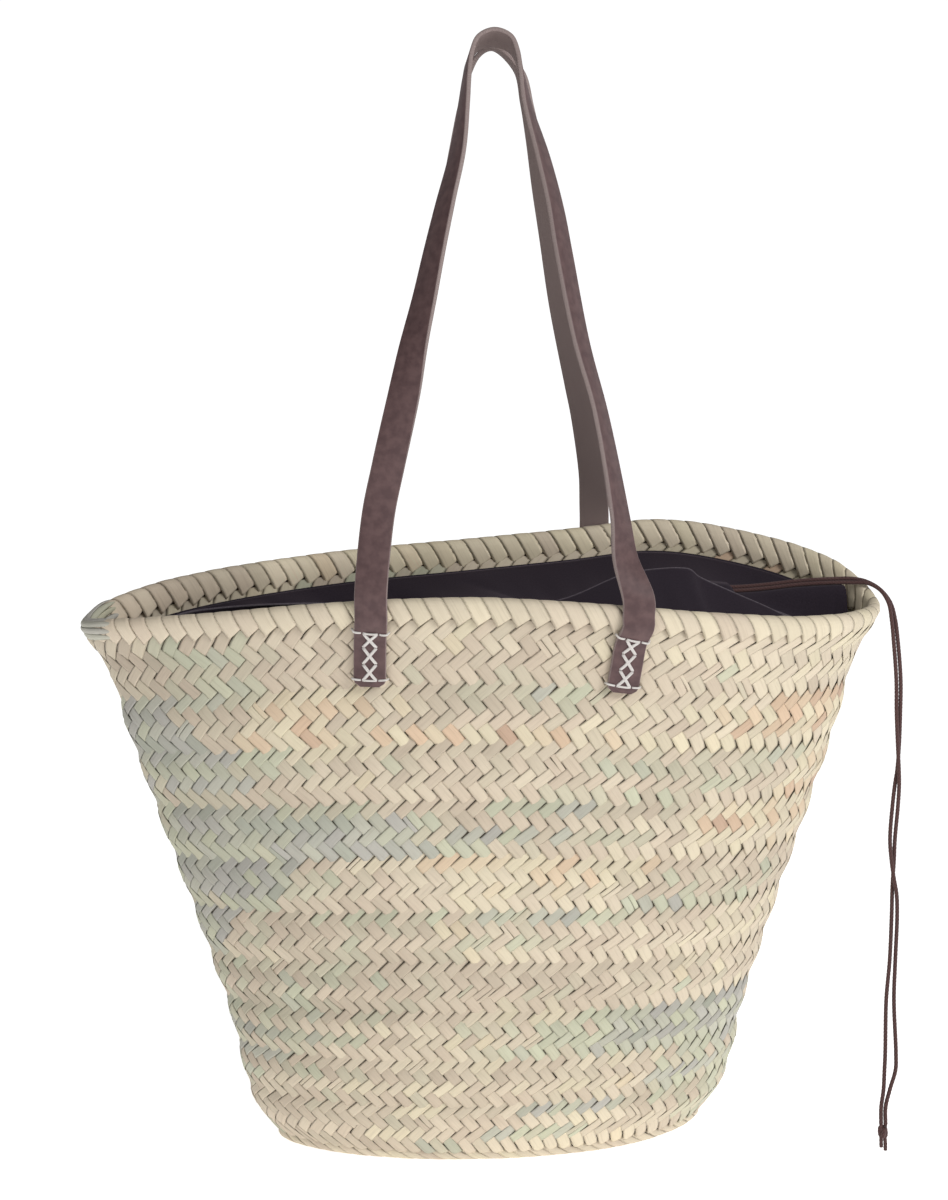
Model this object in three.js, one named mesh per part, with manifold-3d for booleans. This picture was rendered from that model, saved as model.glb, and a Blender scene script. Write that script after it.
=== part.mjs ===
// Straw basket bag: a coiled and sewn palm-leaf body with a rolled rim, a dark cotton lining whose
// drawstring collar is folded into the mouth, two flat leather shoulder straps and the doubled
// drawcord that hangs out over the right end of the mouth.
// Millimetres, +Z up, -Y is the front, +X is the right as seen from the front.
// The origin is the centre of the foot's underside.
import * as THREE from "three";
import Module from "manifold-3d";
import { mergeVertices } from "three/addons/utils/BufferGeometryUtils.js";

// Straw body
const FOOT_WIDTH = 287;
const FOOT_DEPTH = 119;
const FOOT_THICKNESS = 4;
const FOOT_LIP_HEIGHT = 10;
const FOOT_LIP_WIDTH = 8.5;
const FOOT_RIGHT_LIFT = 5;
const MOUTH_WIDTH = 509;
const MOUTH_DEPTH = 196;
const MOUTH_SHIFT = -2.8;
const RIM_END_HEIGHT = 354;
const RIM_WAVE = 43;
const RIM_ROLL_HEIGHT = 15;
const RIM_ROLL_WIDTH = 9.6;
const WALL_THICKNESS = 3;
const BRAID_TURNS = 10;
const BRAID_BULGE = 2.5;
const TURNS_CLOSER_AT_FOOT = 0.025;

// Cotton lining
const LINING_THICKNESS = 1;
const LINING_DROP = 20;
const COLLAR_THICKNESS = 1.2;
const COLLAR_DROP = 3;
const COLLAR_OPENING_WIDTH = 410;
const COLLAR_OPENING_DEPTH = 44;
const COLLAR_OPENING_BACK = 8;
const COLLAR_SAG = 13;
const COLLAR_FOLD = 3.5;
const COLLAR_FOLDS = 9;
const HEM_DROP = 6;
const HEM_PEAK = 31;

// Leather straps
const STRAP_WIDTH = 20;
const STRAP_THICKNESS = 3;
const STRAP_TAB_LENGTH = 54;
const STRAP_CORNER = 4;
const STRAP_TOP_DIP = 12;
const STRAP_SEWN_UNDER_ROLL = 8;
const STRAP_STEPS = 66;
const FRONT_STRAP_SPREAD = 159;
const FRONT_STRAP_CENTRE = -4.5;
const FRONT_STRAP_RISE = 361.5;
const FRONT_STRAP_TOP_Y = 0;
const BACK_STRAP_SPREAD = 152;
const BACK_STRAP_CENTRE = 7;
const BACK_STRAP_RISE = 352.5;
const BACK_STRAP_TOP_Y = 21.5;

// Drawcord
const CORD_DIAMETER = 2.8;
const KNOT_WIDTH = 6.2;
const KNOT_HEIGHT = 9.4;
const TAIL_LENGTH = 8.5;

// Gap that every piece keeps to the piece it is sewn to or sits on, and the wider ones where a
// flat piece lies on a curved one
const CLEARANCE = 0.35;
const FLOOR_CLEARANCE = 0.7;
const STRAP_OVER_RIM = 0.8;

// Facets around the oval, the same for every piece so that neighbours stay parallel
const AROUND = 44;

// Braided wall from foot to mouth: rise is the share of the wall's height, across and deep are
// the shares of the way from the foot's size to the mouth's size.
const WALL_SECTIONS = [
  { rise: 0, across: 0, deep: 0 },
  { rise: 0.02, across: 0.063, deep: 0.09 },
  { rise: 0.068, across: 0.157, deep: 0.27 },
  { rise: 0.132, across: 0.202, deep: 0.39 },
  { rise: 0.195, across: 0.238, deep: 0.47 },
  { rise: 0.271, across: 0.296, deep: 0.56 },
  { rise: 0.407, across: 0.42, deep: 0.69 },
  { rise: 0.505, across: 0.511, deep: 0.77 },
  { rise: 0.589, across: 0.596, deep: 0.82 },
  { rise: 0.711, across: 0.709, deep: 0.88 },
  { rise: 0.811, across: 0.803, deep: 0.92 },
  { rise: 0.892, across: 0.865, deep: 0.95 },
  { rise: 0.96, across: 0.925, deep: 0.98 },
  { rise: 1, across: 1.013, deep: 1.03 },
];

// Top of the rim round the mouth: angle in degrees from the right end over the back, lift is the
// share of RIM_WAVE above the rim's height at the ends.
const RIM_LINE = [
  { angle: 0, lift: 0.05 },
  { angle: 22, lift: 0.42 },
  { angle: 45, lift: 0.84 },
  { angle: 60, lift: 1 },
  { angle: 75, lift: 0.84 },
  { angle: 92, lift: 0.7 },
  { angle: 110, lift: 0.6 },
  { angle: 140, lift: 0.37 },
  { angle: 162, lift: 0.14 },
  { angle: 180, lift: -0.05 },
  { angle: 205, lift: 0.07 },
  { angle: 224, lift: 0.23 },
  { angle: 249, lift: 0.49 },
  { angle: 267, lift: 0.56 },
  { angle: 284, lift: 0.44 },
  { angle: 300, lift: 0.26 },
  { angle: 320, lift: 0.07 },
  { angle: 340, lift: -0.05 },
];

// Free hem of the lining's collar round its opening: it lies HEM_DROP under the rim's ends, and peak
// is the share of HEM_PEAK above that, where the cloth is folded up.
const HEM_LINE = [
  { angle: 0, peak: 0.05 },
  { angle: 40, peak: 0.1 },
  { angle: 90, peak: 0.05 },
  { angle: 125, peak: 0.24 },
  { angle: 155, peak: 0.3 },
  { angle: 180, peak: 0.2 },
  { angle: 212, peak: 0 },
  { angle: 245, peak: 0.04 },
  { angle: 263, peak: 0.36 },
  { angle: 276, peak: 0.6 },
  { angle: 289, peak: 0.97 },
  { angle: 303, peak: 1 },
  { angle: 315, peak: 0.62 },
  { angle: 328, peak: 0.38 },
  { angle: 345, peak: 0.12 },
];

// A strap's free loop from its left end to its right end. across is the share of half its spread,
// rise the share of its height above the rim, lean the share of the way from the rim to the top
// of the loop, turn the angle of its width from the left (0) over the back (90) to the right.
const FRONT_STRAP_LOOP = [
  { across: -0.925, rise: 0.14, lean: 0.106, turn: 6 },
  { across: -0.844, rise: 0.227, lean: 0.149, turn: 5 },
  { across: -0.711, rise: 0.356, lean: 0.243, turn: 20 },
  { across: -0.63, rise: 0.442, lean: 0.32, turn: 38 },
  { across: -0.535, rise: 0.528, lean: 0.409, turn: 50 },
  { across: -0.446, rise: 0.614, lean: 0.505, turn: 57 },
  { across: -0.35, rise: 0.7, lean: 0.609, turn: 63 },
  { across: -0.246, rise: 0.789, lean: 0.718, turn: 70 },
  { across: -0.166, rise: 0.878, lean: 0.833, turn: 81 },
  { across: -0.115, rise: 0.945, lean: 0.92, turn: 87 },
  { across: 0.069, rise: 1, lean: 1, turn: 90 },
  { across: 0.255, rise: 0.945, lean: 0.92, turn: 100 },
  { across: 0.314, rise: 0.878, lean: 0.833, turn: 110 },
  { across: 0.411, rise: 0.789, lean: 0.718, turn: 119 },
  { across: 0.491, rise: 0.7, lean: 0.609, turn: 123 },
  { across: 0.5425, rise: 0.614, lean: 0.505, turn: 126 },
  { across: 0.65, rise: 0.458, lean: 0.338, turn: 124 },
  { across: 0.7825, rise: 0.332, lean: 0.225, turn: 121 },
  { across: 0.949, rise: 0.146, lean: 0.107, turn: 130 },
  { across: 1.009, rise: 0.073, lean: 0.07, turn: 146 },
];
const BACK_STRAP_LOOP = [
  { across: -0.945, rise: 0.11, lean: 0.06, turn: 150 },
  { across: -0.8, rise: 0.26, lean: 0.135, turn: 141 },
  { across: -0.675, rise: 0.407, lean: 0.24, turn: 130 },
  { across: -0.57, rise: 0.511, lean: 0.35, turn: 124 },
  { across: -0.476, rise: 0.613, lean: 0.475, turn: 118 },
  { across: -0.403, rise: 0.713, lean: 0.61, turn: 113 },
  { across: -0.33, rise: 0.811, lean: 0.745, turn: 108 },
  { across: -0.275, rise: 0.888, lean: 0.855, turn: 102 },
  { across: -0.205, rise: 0.955, lean: 0.94, turn: 96 },
  { across: -0.03, rise: 1, lean: 1, turn: 90 },
  { across: 0.175, rise: 0.955, lean: 0.94, turn: 84 },
  { across: 0.257, rise: 0.888, lean: 0.855, turn: 78 },
  { across: 0.333, rise: 0.811, lean: 0.745, turn: 72 },
  { across: 0.414, rise: 0.713, lean: 0.61, turn: 67 },
  { across: 0.505, rise: 0.613, lean: 0.475, turn: 62 },
  { across: 0.632, rise: 0.468, lean: 0.3, turn: 54 },
  { across: 0.805, rise: 0.3, lean: 0.165, turn: 43 },
  { across: 0.889, rise: 0.215, lean: 0.1, turn: 40 },
  { across: 0.976, rise: 0.085, lean: 0.045, turn: 33 },
];

// Where each strap end lies, as shares of half the strap's spread: its sewn foot and the place
// where it passes over the rim.
const FRONT_TABS = {
  left: { foot: -1, rim: -0.994 },
  right: { foot: 1, rim: 1.118 },
};
const BACK_TABS = {
  left: { foot: -1, rim: -0.99 },
  right: { foot: 1, rim: 1 },
};

// Route of the doubled drawcord, chosen by hand: the middle line of its two strands, the angle
// of the first strand round it and half the distance between the strands.
const CORD_ROUTE = [
  { x: 121, y: 8, z: 366.6, turn: 90, half: 1.6 },
  { x: 139, y: 10, z: 365.8, turn: 90, half: 1.6 },
  { x: 180, y: 14, z: 363.6, turn: 90, half: 1.6 },
  { x: 227, y: 12, z: 363.2, turn: 90, half: 1.6 },
  { x: 242, y: 11, z: 363.2, turn: 90, half: 1.6 },
  { x: 250.5, y: 9.5, z: 362.7, turn: 88, half: 1.6 },
  { x: 258.7, y: 7, z: 357.8, turn: 80, half: 1.65 },
  { x: 263.9, y: 3, z: 350.6, turn: 55, half: 1.7 },
  { x: 266, y: -1, z: 341, turn: 25, half: 1.7 },
  { x: 267.5, y: -4, z: 326, turn: 5, half: 1.7 },
  { x: 269.3, y: -6.5, z: 301.5, turn: 0, half: 1.7 },
  { x: 269.4, y: -8.3, z: 280, turn: 20, half: 1.75 },
  { x: 269.4, y: -10.7, z: 258.5, turn: 60, half: 1.75 },
  { x: 269, y: -13, z: 241.5, turn: 95, half: 1.8 },
  { x: 268.2, y: -14.4, z: 232.5, turn: 125, half: 1.8 },
  { x: 266.8, y: -16.5, z: 219, turn: 158, half: 1.8 },
  { x: 264.4, y: -20.8, z: 197, turn: 192, half: 1.8 },
  { x: 264.3, y: -23.7, z: 182.5, turn: 230, half: 1.75 },
  { x: 264.4, y: -26.1, z: 171.5, turn: 270, half: 1.75 },
  { x: 264.7, y: -28.1, z: 162.5, turn: 310, half: 1.75 },
  { x: 264.2, y: -31.5, z: 148.5, turn: 345, half: 1.8 },
  { x: 261.7, y: -39, z: 120.5, turn: 360, half: 1.9 },
  { x: 258.8, y: -46.3, z: 95.5, turn: 360, half: 2.6 },
  { x: 257.2, y: -56.9, z: 62.5, turn: 360, half: 3.6 },
  { x: 256.2, y: -60.2, z: 52.5, turn: 360, half: 3.7 },
  { x: 253.1, y: -64.5, z: 40.5, turn: 360, half: 2.6 },
  { x: 250.2, y: -68.3, z: 30, turn: 360, half: 1.6 },
  { x: 249.6, y: -71.5, z: 19.9, turn: 360, half: 1.6 },
];
const CORD_STEPS = 60;
const CORD_SIDES = 8;

const wasm = await Module();
wasm.setup();

const radians = THREE.MathUtils.degToRad;
const lerp = THREE.MathUtils.lerp;

// Value of one column of a table at a place along its key column, on a smooth curve through the
// rows. With a period the table runs round and closes on itself.
function read(rows, key, column, place, period = 0) {
  let at = place;
  if (period) at = ((place % period) + period) % period;
  const last = rows.length - 1;
  const row = (i) => {
    if (!period) {
      const kept = rows[Math.min(Math.max(i, 0), last)];
      return { k: kept[key], v: kept[column] };
    }
    const turns = Math.floor(i / rows.length);
    const kept = rows[i - turns * rows.length];
    return { k: kept[key] + turns * period, v: kept[column] };
  };
  let i = 0;
  while (i < last && rows[i + 1][key] <= at) i += 1;
  if (!period && i === last) i = last - 1;
  const [a, b, c, d] = [row(i - 1), row(i), row(i + 1), row(i + 2)];
  const span = c.k - b.k;
  const slope = (p, q) => (q.k > p.k ? (q.v - p.v) / (q.k - p.k) : 0);
  const startSlope = slope(a, c) * span;
  const endSlope = slope(b, d) * span;
  const t = (at - b.k) / span;
  return (
    (2 * t ** 3 - 3 * t ** 2 + 1) * b.v +
    (t ** 3 - 2 * t ** 2 + t) * startSlope +
    (3 * t ** 2 - 2 * t ** 3) * c.v +
    (t ** 3 - t ** 2) * endSlope
  );
}

// Closed triangle mesh through rings of equal length. Joined ends make a ring-shaped body,
// capped ends are closed with a fan from the middle of the end ring.
function loft(rings, joined) {
  const size = rings[0].length;
  const points = rings.flat();
  const faces = [];
  const bands = joined ? rings.length : rings.length - 1;
  for (let r = 0; r < bands; r += 1) {
    const low = r * size;
    const high = ((r + 1) % rings.length) * size;
    for (let i = 0; i < size; i += 1) {
      const j = (i + 1) % size;
      faces.push(low + i, low + j, high + j);
      faces.push(low + i, high + j, high + i);
    }
  }
  if (!joined) {
    const middle = (ring) => {
      const sum = new THREE.Vector3();
      ring.forEach((p) => sum.add(p));
      return sum.divideScalar(size);
    };
    const first = points.length;
    points.push(middle(rings[0]), middle(rings[rings.length - 1]));
    const top = (rings.length - 1) * size;
    for (let i = 0; i < size; i += 1) {
      const j = (i + 1) % size;
      faces.push(first, j, i);
      faces.push(first + 1, top + i, top + j);
    }
  }
  const geometry = new THREE.BufferGeometry().setFromPoints(points);
  geometry.setIndex(faces);
  geometry.computeVertexNormals();
  return geometry;
}

// Pointed oval of the basket at an angle: half width, half depth, and how far the right half is
// fuller than the left.
function oval(angle, halfWidth, halfDepth, fullness) {
  const c = Math.cos(angle);
  const s = Math.sin(angle);
  const pointed = 0.12 + 0.05 * (1 - c);
  return {
    x: halfWidth * c,
    y: halfDepth * s * Math.abs(s) ** pointed * (1 + fullness * c),
  };
}

const MOUTH_FULLNESS = 0.18;

// How far the foot is lifted off the floor at its right end.
function footLift(angle) {
  const share = Math.max(0, (Math.cos(angle) - 0.45) / 0.55);
  return FOOT_RIGHT_LIFT * share ** 2;
}

function rimTop(angle) {
  const lift = read(RIM_LINE, "angle", "lift", THREE.MathUtils.radToDeg(angle), 360);
  return RIM_END_HEIGHT + RIM_WAVE * lift;
}

function wallBottom(angle) {
  return FOOT_LIP_HEIGHT + CLEARANCE + footLift(angle);
}

function wallTop(angle) {
  return rimTop(angle) - RIM_ROLL_HEIGHT - CLEARANCE;
}

// Height share of a place counted in braid turns from the foot, which crowd towards the foot.
function turnRise(turn) {
  const share = turn / BRAID_TURNS;
  return share - TURNS_CLOSER_AT_FOOT * Math.sin(Math.PI * share);
}

// Point of the wall's smooth outer envelope, moved inwards by inset.
function wallPoint(angle, rise, inset) {
  const across = read(WALL_SECTIONS, "rise", "across", rise);
  const deep = read(WALL_SECTIONS, "rise", "deep", rise);
  const halfWidth = lerp(FOOT_WIDTH / 2, MOUTH_WIDTH / 2, across) - inset;
  const halfDepth = lerp(FOOT_DEPTH / 2, MOUTH_DEPTH / 2, deep) - inset;
  const flat = oval(angle, halfWidth, halfDepth, MOUTH_FULLNESS * rise);
  const z = lerp(wallBottom(angle), wallTop(angle), rise);
  return new THREE.Vector3(flat.x + MOUTH_SHIFT * rise ** 2, flat.y, z);
}

// Inset of the braid's outer face, which bulges in the middle of every turn.
function braidInset(turn) {
  return BRAID_BULGE * (1 - Math.abs(Math.sin(Math.PI * turn)));
}

function ringOf(pointAt) {
  return Array.from({ length: AROUND }, (_, i) => pointAt((i / AROUND) * 2 * Math.PI));
}

function strawWall() {
  const stops = Array.from({ length: BRAID_TURNS * 2 + 1 }, (_, i) => i / 2);
  const face = (thickness) => (turn) =>
    ringOf((angle) => wallPoint(angle, turnRise(turn), braidInset(turn) + thickness));
  const outside = stops.map(face(0));
  const inside = [...stops].reverse().map(face(WALL_THICKNESS));
  return loft([...outside, ...inside], true);
}

// Oval plate of the foot with its rounded lip, from the underside out and back over the top.
// inset is the share of the lip's width, height the share of the lip's height.
const FOOT_PROFILE = [
  { inset: 0.6, height: 0 },
  { inset: 0.15, height: 0.15 },
  { inset: 0, height: 0.55 },
  { inset: 0.17, height: 0.9 },
  { inset: 0.5, height: 1 },
  { inset: 0.85, height: 0.88 },
  { inset: 1, height: FOOT_THICKNESS / FOOT_LIP_HEIGHT },
];

// Share of the foot's size that stays level, inside the part that lifts with the lip.
const FLAT_SHARE = 0.42;

function footPoint(angle, inset, height) {
  const flat = oval(angle, FOOT_WIDTH / 2 - inset, FOOT_DEPTH / 2 - inset, 0);
  return new THREE.Vector3(flat.x, flat.y, height + footLift(angle));
}

function strawBase() {
  const rings = FOOT_PROFILE.map(({ inset, height }) =>
    ringOf((angle) => footPoint(angle, inset * FOOT_LIP_WIDTH, height * FOOT_LIP_HEIGHT)),
  );
  const inner = (height) =>
    ringOf((angle) => {
      const edge = footPoint(angle, FOOT_LIP_WIDTH, height);
      return new THREE.Vector3(edge.x * FLAT_SHARE, edge.y * FLAT_SHARE, height);
    });
  return loft([inner(0), ...rings, inner(FOOT_THICKNESS)], false);
}

// Middle line of the rolled rim.
function rimCentre(angle) {
  const flat = oval(angle, MOUTH_WIDTH / 2, MOUTH_DEPTH / 2, MOUTH_FULLNESS);
  return new THREE.Vector3(flat.x + MOUTH_SHIFT, flat.y, rimTop(angle) - RIM_ROLL_HEIGHT / 2);
}

// Outward direction of the mouth's oval in plan.
function rimOutward(angle) {
  const step = 0.01;
  const along = rimCentre(angle + step).sub(rimCentre(angle - step));
  return new THREE.Vector3(along.y, -along.x, 0).normalize();
}

function strawRim() {
  const sides = 10;
  const section = Array.from({ length: sides }, (_, i) => (i / sides) * 2 * Math.PI);
  const rings = section.map((round) =>
    ringOf((angle) => {
      const out = rimOutward(angle).multiplyScalar((RIM_ROLL_WIDTH / 2) * Math.sin(round));
      const up = new THREE.Vector3(0, 0, (-RIM_ROLL_HEIGHT / 2) * Math.cos(round));
      return rimCentre(angle).add(out).add(up);
    }),
  );
  return loft(rings, true);
}

// Rise of a place on the wall that lies a given drop under the top of the rim.
function riseUnderRim(angle, drop) {
  const bottom = wallBottom(angle);
  return (rimTop(angle) - drop - bottom) / (wallTop(angle) - bottom);
}

// Braid turns whose seams the lining is drawn against.
const LINING_SEAMS = [0.35, 1, 2, 3, 5, 7, 9];

function liningBag() {
  const wallSide = WALL_THICKNESS + BRAID_BULGE + CLEARANCE;
  const floorEdge = FOOT_LIP_WIDTH + FLOOR_CLEARANCE;
  const floorHeight = FOOT_THICKNESS + FLOOR_CLEARANCE;
  const side = (thickness) => [
    ...LINING_SEAMS.map((seam) =>
      ringOf((angle) => wallPoint(angle, turnRise(seam), wallSide + thickness)),
    ),
    ringOf((angle) => wallPoint(angle, riseUnderRim(angle, LINING_DROP), wallSide + thickness)),
  ];
  const floor = (thickness) => [
    ringOf((angle) => {
      const p = footPoint(angle, floorEdge + thickness, 0).multiplyScalar(FLAT_SHARE);
      return p.setZ(floorHeight + thickness);
    }),
    ringOf((angle) => footPoint(angle, floorEdge + thickness, floorHeight + thickness)),
    ringOf((angle) => footPoint(angle, floorEdge + thickness, FOOT_LIP_HEIGHT + CLEARANCE)),
  ];
  const outside = [...floor(0), ...side(0)];
  const inside = [...floor(LINING_THICKNESS), ...side(LINING_THICKNESS)].reverse();
  return loft([...outside, ...inside], false);
}

// Middle face of the drawstring collar: v runs from its sewn edge (0) to its free hem (1).
function collarPoint(angle, v) {
  const sewnInset =
    WALL_THICKNESS + BRAID_BULGE + LINING_THICKNESS + COLLAR_THICKNESS / 2 + CLEARANCE * 3;
  const sewn = wallPoint(angle, riseUnderRim(angle, LINING_DROP + COLLAR_DROP), sewnInset);
  const peak = read(HEM_LINE, "angle", "peak", THREE.MathUtils.radToDeg(angle), 360);
  const hem = new THREE.Vector3(
    MOUTH_SHIFT + (COLLAR_OPENING_WIDTH / 2) * Math.cos(angle),
    COLLAR_OPENING_BACK + (COLLAR_OPENING_DEPTH / 2) * Math.sin(angle),
    RIM_END_HEIGHT - HEM_DROP + HEM_PEAK * peak,
  );
  const point = sewn.lerp(hem, v);
  const hang = Math.sin(Math.PI * v);
  point.z += hang * (COLLAR_FOLD * Math.sin(COLLAR_FOLDS * angle) - COLLAR_SAG);
  return point;
}

function liningCollar() {
  const steps = 7;
  const stops = Array.from({ length: steps + 1 }, (_, i) => i / steps);
  const face = (side) => (v) =>
    ringOf((angle) => {
      const turn = 0.02;
      const slide = 0.02;
      const across = collarPoint(angle + turn, v).sub(collarPoint(angle - turn, v));
      const inward = collarPoint(angle, v + slide).sub(collarPoint(angle, v - slide));
      const up = across.cross(inward).normalize();
      return collarPoint(angle, v).addScaledVector(up, (side * COLLAR_THICKNESS) / 2);
    });
  return loft([...stops.map(face(1)), ...[...stops].reverse().map(face(-1))], true);
}

// Depth of the wall's outer envelope at a place given by x and z. side is -1 in front, 1 behind.
function wallDepthAt(x, z, side) {
  let angle = (side * Math.PI) / 2;
  let point = wallPoint(angle, 0.5, 0);
  for (let i = 0; i < 12; i += 1) {
    const rise = (z - wallBottom(angle)) / (wallTop(angle) - wallBottom(angle));
    point = wallPoint(angle, Math.min(rise, 1), 0);
    const halfWidth = wallPoint(0, Math.min(rise, 1), 0).x - MOUTH_SHIFT;
    angle += (side * (point.x - x)) / halfWidth;
  }
  return point.y;
}

// Angle round the mouth at which the rim passes a place given by x.
function rimAngleAt(x, side) {
  let angle = (side * Math.PI) / 2;
  for (let i = 0; i < 12; i += 1) {
    angle += (side * (rimCentre(angle).x - x)) / (MOUTH_WIDTH / 2);
  }
  return angle;
}

// Rows of one sewn strap end, from its foot up over the rim.
function tabRows(tab, centre, halfSpread, side, mirrored) {
  const xAt = (share) => centre + halfSpread * lerp(tab.foot, tab.rim, share);
  const angle = rimAngleAt(xAt(1), side);
  const top = rimTop(angle);
  const foot = top - STRAP_TAB_LENGTH;
  const out = side * (CLEARANCE + STRAP_THICKNESS / 2);
  const outward = rimOutward(angle);
  const lean = THREE.MathUtils.radToDeg(Math.atan2(outward.x, Math.abs(outward.y)));
  const turn = mirrored ? 180 + side * lean : side * lean;
  const sewnTop = top - RIM_ROLL_HEIGHT - STRAP_SEWN_UNDER_ROLL;
  const onWall = [0, 0.5, 1].map((share) => {
    const z = lerp(foot, sewnTop, share);
    const x = xAt((z - foot) / STRAP_TAB_LENGTH);
    return { x, y: wallDepthAt(x, z, side) + out, z, turn };
  });
  const reach = RIM_ROLL_WIDTH / 2 + STRAP_OVER_RIM + STRAP_THICKNESS / 2;
  const overRim = [0.8, 0.4, -0.3].map((share) => {
    const z = top - RIM_ROLL_HEIGHT * share;
    return { x: xAt(1), y: rimCentre(angle).y + (side * reach) / Math.abs(outward.y), z, turn };
  });
  return [...onWall, ...overRim];
}

function strapRows({ loop, tabs, spread, centre, top, topY, side }) {
  const half = spread / 2;
  const left = tabRows(tabs.left, centre, half, side, side > 0);
  const right = tabRows(tabs.right, centre, half, side, side < 0);
  const leftRim = left[left.length - 1];
  const rightRim = right[right.length - 1];
  const free = loop.map(({ across, rise, lean, turn }) => {
    const start = across < 0 ? leftRim : rightRim;
    return {
      x: centre + half * across,
      y: lerp(start.y, topY, lean),
      z: lerp(start.z, top, rise),
      turn,
    };
  });
  return [...left, ...free, ...right.reverse()];
}

// Flat leather strap along its rows. dip tilts its width downwards to the back at the top.
function strap(layout) {
  const rows = strapRows(layout);
  const path = new THREE.CatmullRomCurve3(
    rows.map(({ x, y, z }) => new THREE.Vector3(x, y, z)),
    false,
    "centripetal",
  );
  const turns = rows.map(({ turn }, i) => ({ at: i / (rows.length - 1), turn }));
  const length = path.getLength();
  const stops = [0, STRAP_CORNER * 0.3, STRAP_CORNER].map((d) => d / length);
  const middle = Array.from({ length: STRAP_STEPS - 1 }, (_, i) =>
    lerp(stops[2], 1 - stops[2], (i + 1) / STRAP_STEPS),
  );
  const all = [...stops, ...middle, ...stops.map((s) => 1 - s).reverse()];
  const sections = all.map((share) => {
    const t = path.getUtoTmapping(share);
    const place = path.getPoint(t);
    const along = path.getTangent(t).normalize();
    const turn = radians(read(turns, "at", "turn", t));
    const dip = radians(layout.dip);
    const flat = new THREE.Vector3(
      -Math.cos(turn),
      Math.sin(turn) * Math.cos(dip),
      -Math.sin(turn) * Math.sin(dip),
    );
    const wide = flat.addScaledVector(along, -flat.dot(along)).normalize();
    const thick = along.clone().cross(wide);
    const fromEnd = Math.min(share, 1 - share) * length;
    const cut = Math.max(0, 1 - fromEnd / STRAP_CORNER) ** 2 * STRAP_CORNER;
    const halfWidth = STRAP_WIDTH / 2 - cut;
    const corners = [
      [1, -1],
      [1, 1],
      [-1, 1],
      [-1, -1],
    ];
    return corners.map(([w, n]) =>
      place
        .clone()
        .addScaledVector(wide, w * halfWidth)
        .addScaledVector(thick, (n * STRAP_THICKNESS) / 2),
    );
  });
  return loft(sections, false);
}

// One strand of the doubled drawcord, turned round the pair's middle line.
function cordStrand(side) {
  const points = CORD_ROUTE.map(({ x, y, z, turn, half }) => {
    const angle = radians(turn);
    const away = side * half;
    return new THREE.Vector3(x + away * Math.cos(angle), y + away * Math.sin(angle), z);
  });
  const path = new THREE.CatmullRomCurve3(points, false, "centripetal");
  const radius = CORD_DIAMETER / 2;
  const section = new THREE.Shape();
  for (let i = 0; i < CORD_SIDES; i += 1) {
    const angle = (i / CORD_SIDES) * 2 * Math.PI;
    const [x, y] = [radius * Math.cos(angle), radius * Math.sin(angle)];
    if (i === 0) section.moveTo(x, y);
    else section.lineTo(x, y);
  }
  section.closePath();
  return new THREE.ExtrudeGeometry(section, {
    steps: CORD_STEPS,
    curveSegments: 1,
    bevelEnabled: false,
    extrudePath: path,
  });
}

// Solid of a closed mesh, for joining.
function solid(geometry) {
  const bare = geometry.clone();
  bare.deleteAttribute("normal");
  bare.deleteAttribute("uv");
  const merged = mergeVertices(bare, 1e-4);
  return new wasm.Manifold(
    new wasm.Mesh({
      numProp: 3,
      vertProperties: merged.attributes.position.array,
      triVerts: new Uint32Array(merged.index.array),
    }),
  );
}

function geometryOf(body) {
  const mesh = body.getMesh();
  const geometry = new THREE.BufferGeometry();
  geometry.setAttribute("position", new THREE.BufferAttribute(mesh.vertProperties, 3));
  geometry.setIndex(new THREE.BufferAttribute(mesh.triVerts, 1));
  geometry.computeVertexNormals();
  return geometry;
}

// Overhand knot under the two strands, with the two short tails below it.
function cordKnot() {
  const end = CORD_ROUTE[CORD_ROUTE.length - 1];
  const centreZ = end.z - CLEARANCE - KNOT_HEIGHT / 2;
  const ball = new THREE.SphereGeometry(0.5, 10, 6);
  ball.scale(KNOT_WIDTH, KNOT_WIDTH, KNOT_HEIGHT);
  ball.translate(end.x, end.y, centreZ);
  let knot = solid(ball);
  const overlap = KNOT_HEIGHT / 3;
  for (const side of [-1, 1]) {
    const tail = new THREE.CylinderGeometry(
      CORD_DIAMETER / 2,
      CORD_DIAMETER / 2,
      TAIL_LENGTH + overlap,
      CORD_SIDES,
    );
    tail.rotateX(Math.PI / 2);
    const tailZ = centreZ - KNOT_HEIGHT / 2 - TAIL_LENGTH / 2 + overlap / 2;
    tail.translate(end.x + side * end.half, end.y, tailZ);
    knot = knot.add(solid(tail));
  }
  return geometryOf(knot);
}

const STRAW = new THREE.MeshStandardMaterial({ color: 0xd3c8a4, roughness: 0.78, metalness: 0 });
const COTTON = new THREE.MeshStandardMaterial({ color: 0x241c26, roughness: 0.9, metalness: 0 });
const LEATHER = new THREE.MeshStandardMaterial({ color: 0x5c4444, roughness: 0.58, metalness: 0 });
const CORD = new THREE.MeshStandardMaterial({ color: 0x4a3232, roughness: 0.72, metalness: 0 });

function piece(name, geometry, material) {
  const mesh = new THREE.Mesh(geometry, material);
  mesh.name = name;
  return mesh;
}

const frontStrap = {
  loop: FRONT_STRAP_LOOP,
  tabs: FRONT_TABS,
  spread: FRONT_STRAP_SPREAD,
  centre: FRONT_STRAP_CENTRE,
  top: RIM_END_HEIGHT + FRONT_STRAP_RISE,
  topY: FRONT_STRAP_TOP_Y,
  side: -1,
  dip: STRAP_TOP_DIP,
};
const backStrap = {
  loop: BACK_STRAP_LOOP,
  tabs: BACK_TABS,
  spread: BACK_STRAP_SPREAD,
  centre: BACK_STRAP_CENTRE,
  top: RIM_END_HEIGHT + BACK_STRAP_RISE,
  topY: BACK_STRAP_TOP_Y,
  side: 1,
  dip: -STRAP_TOP_DIP,
};

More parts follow.
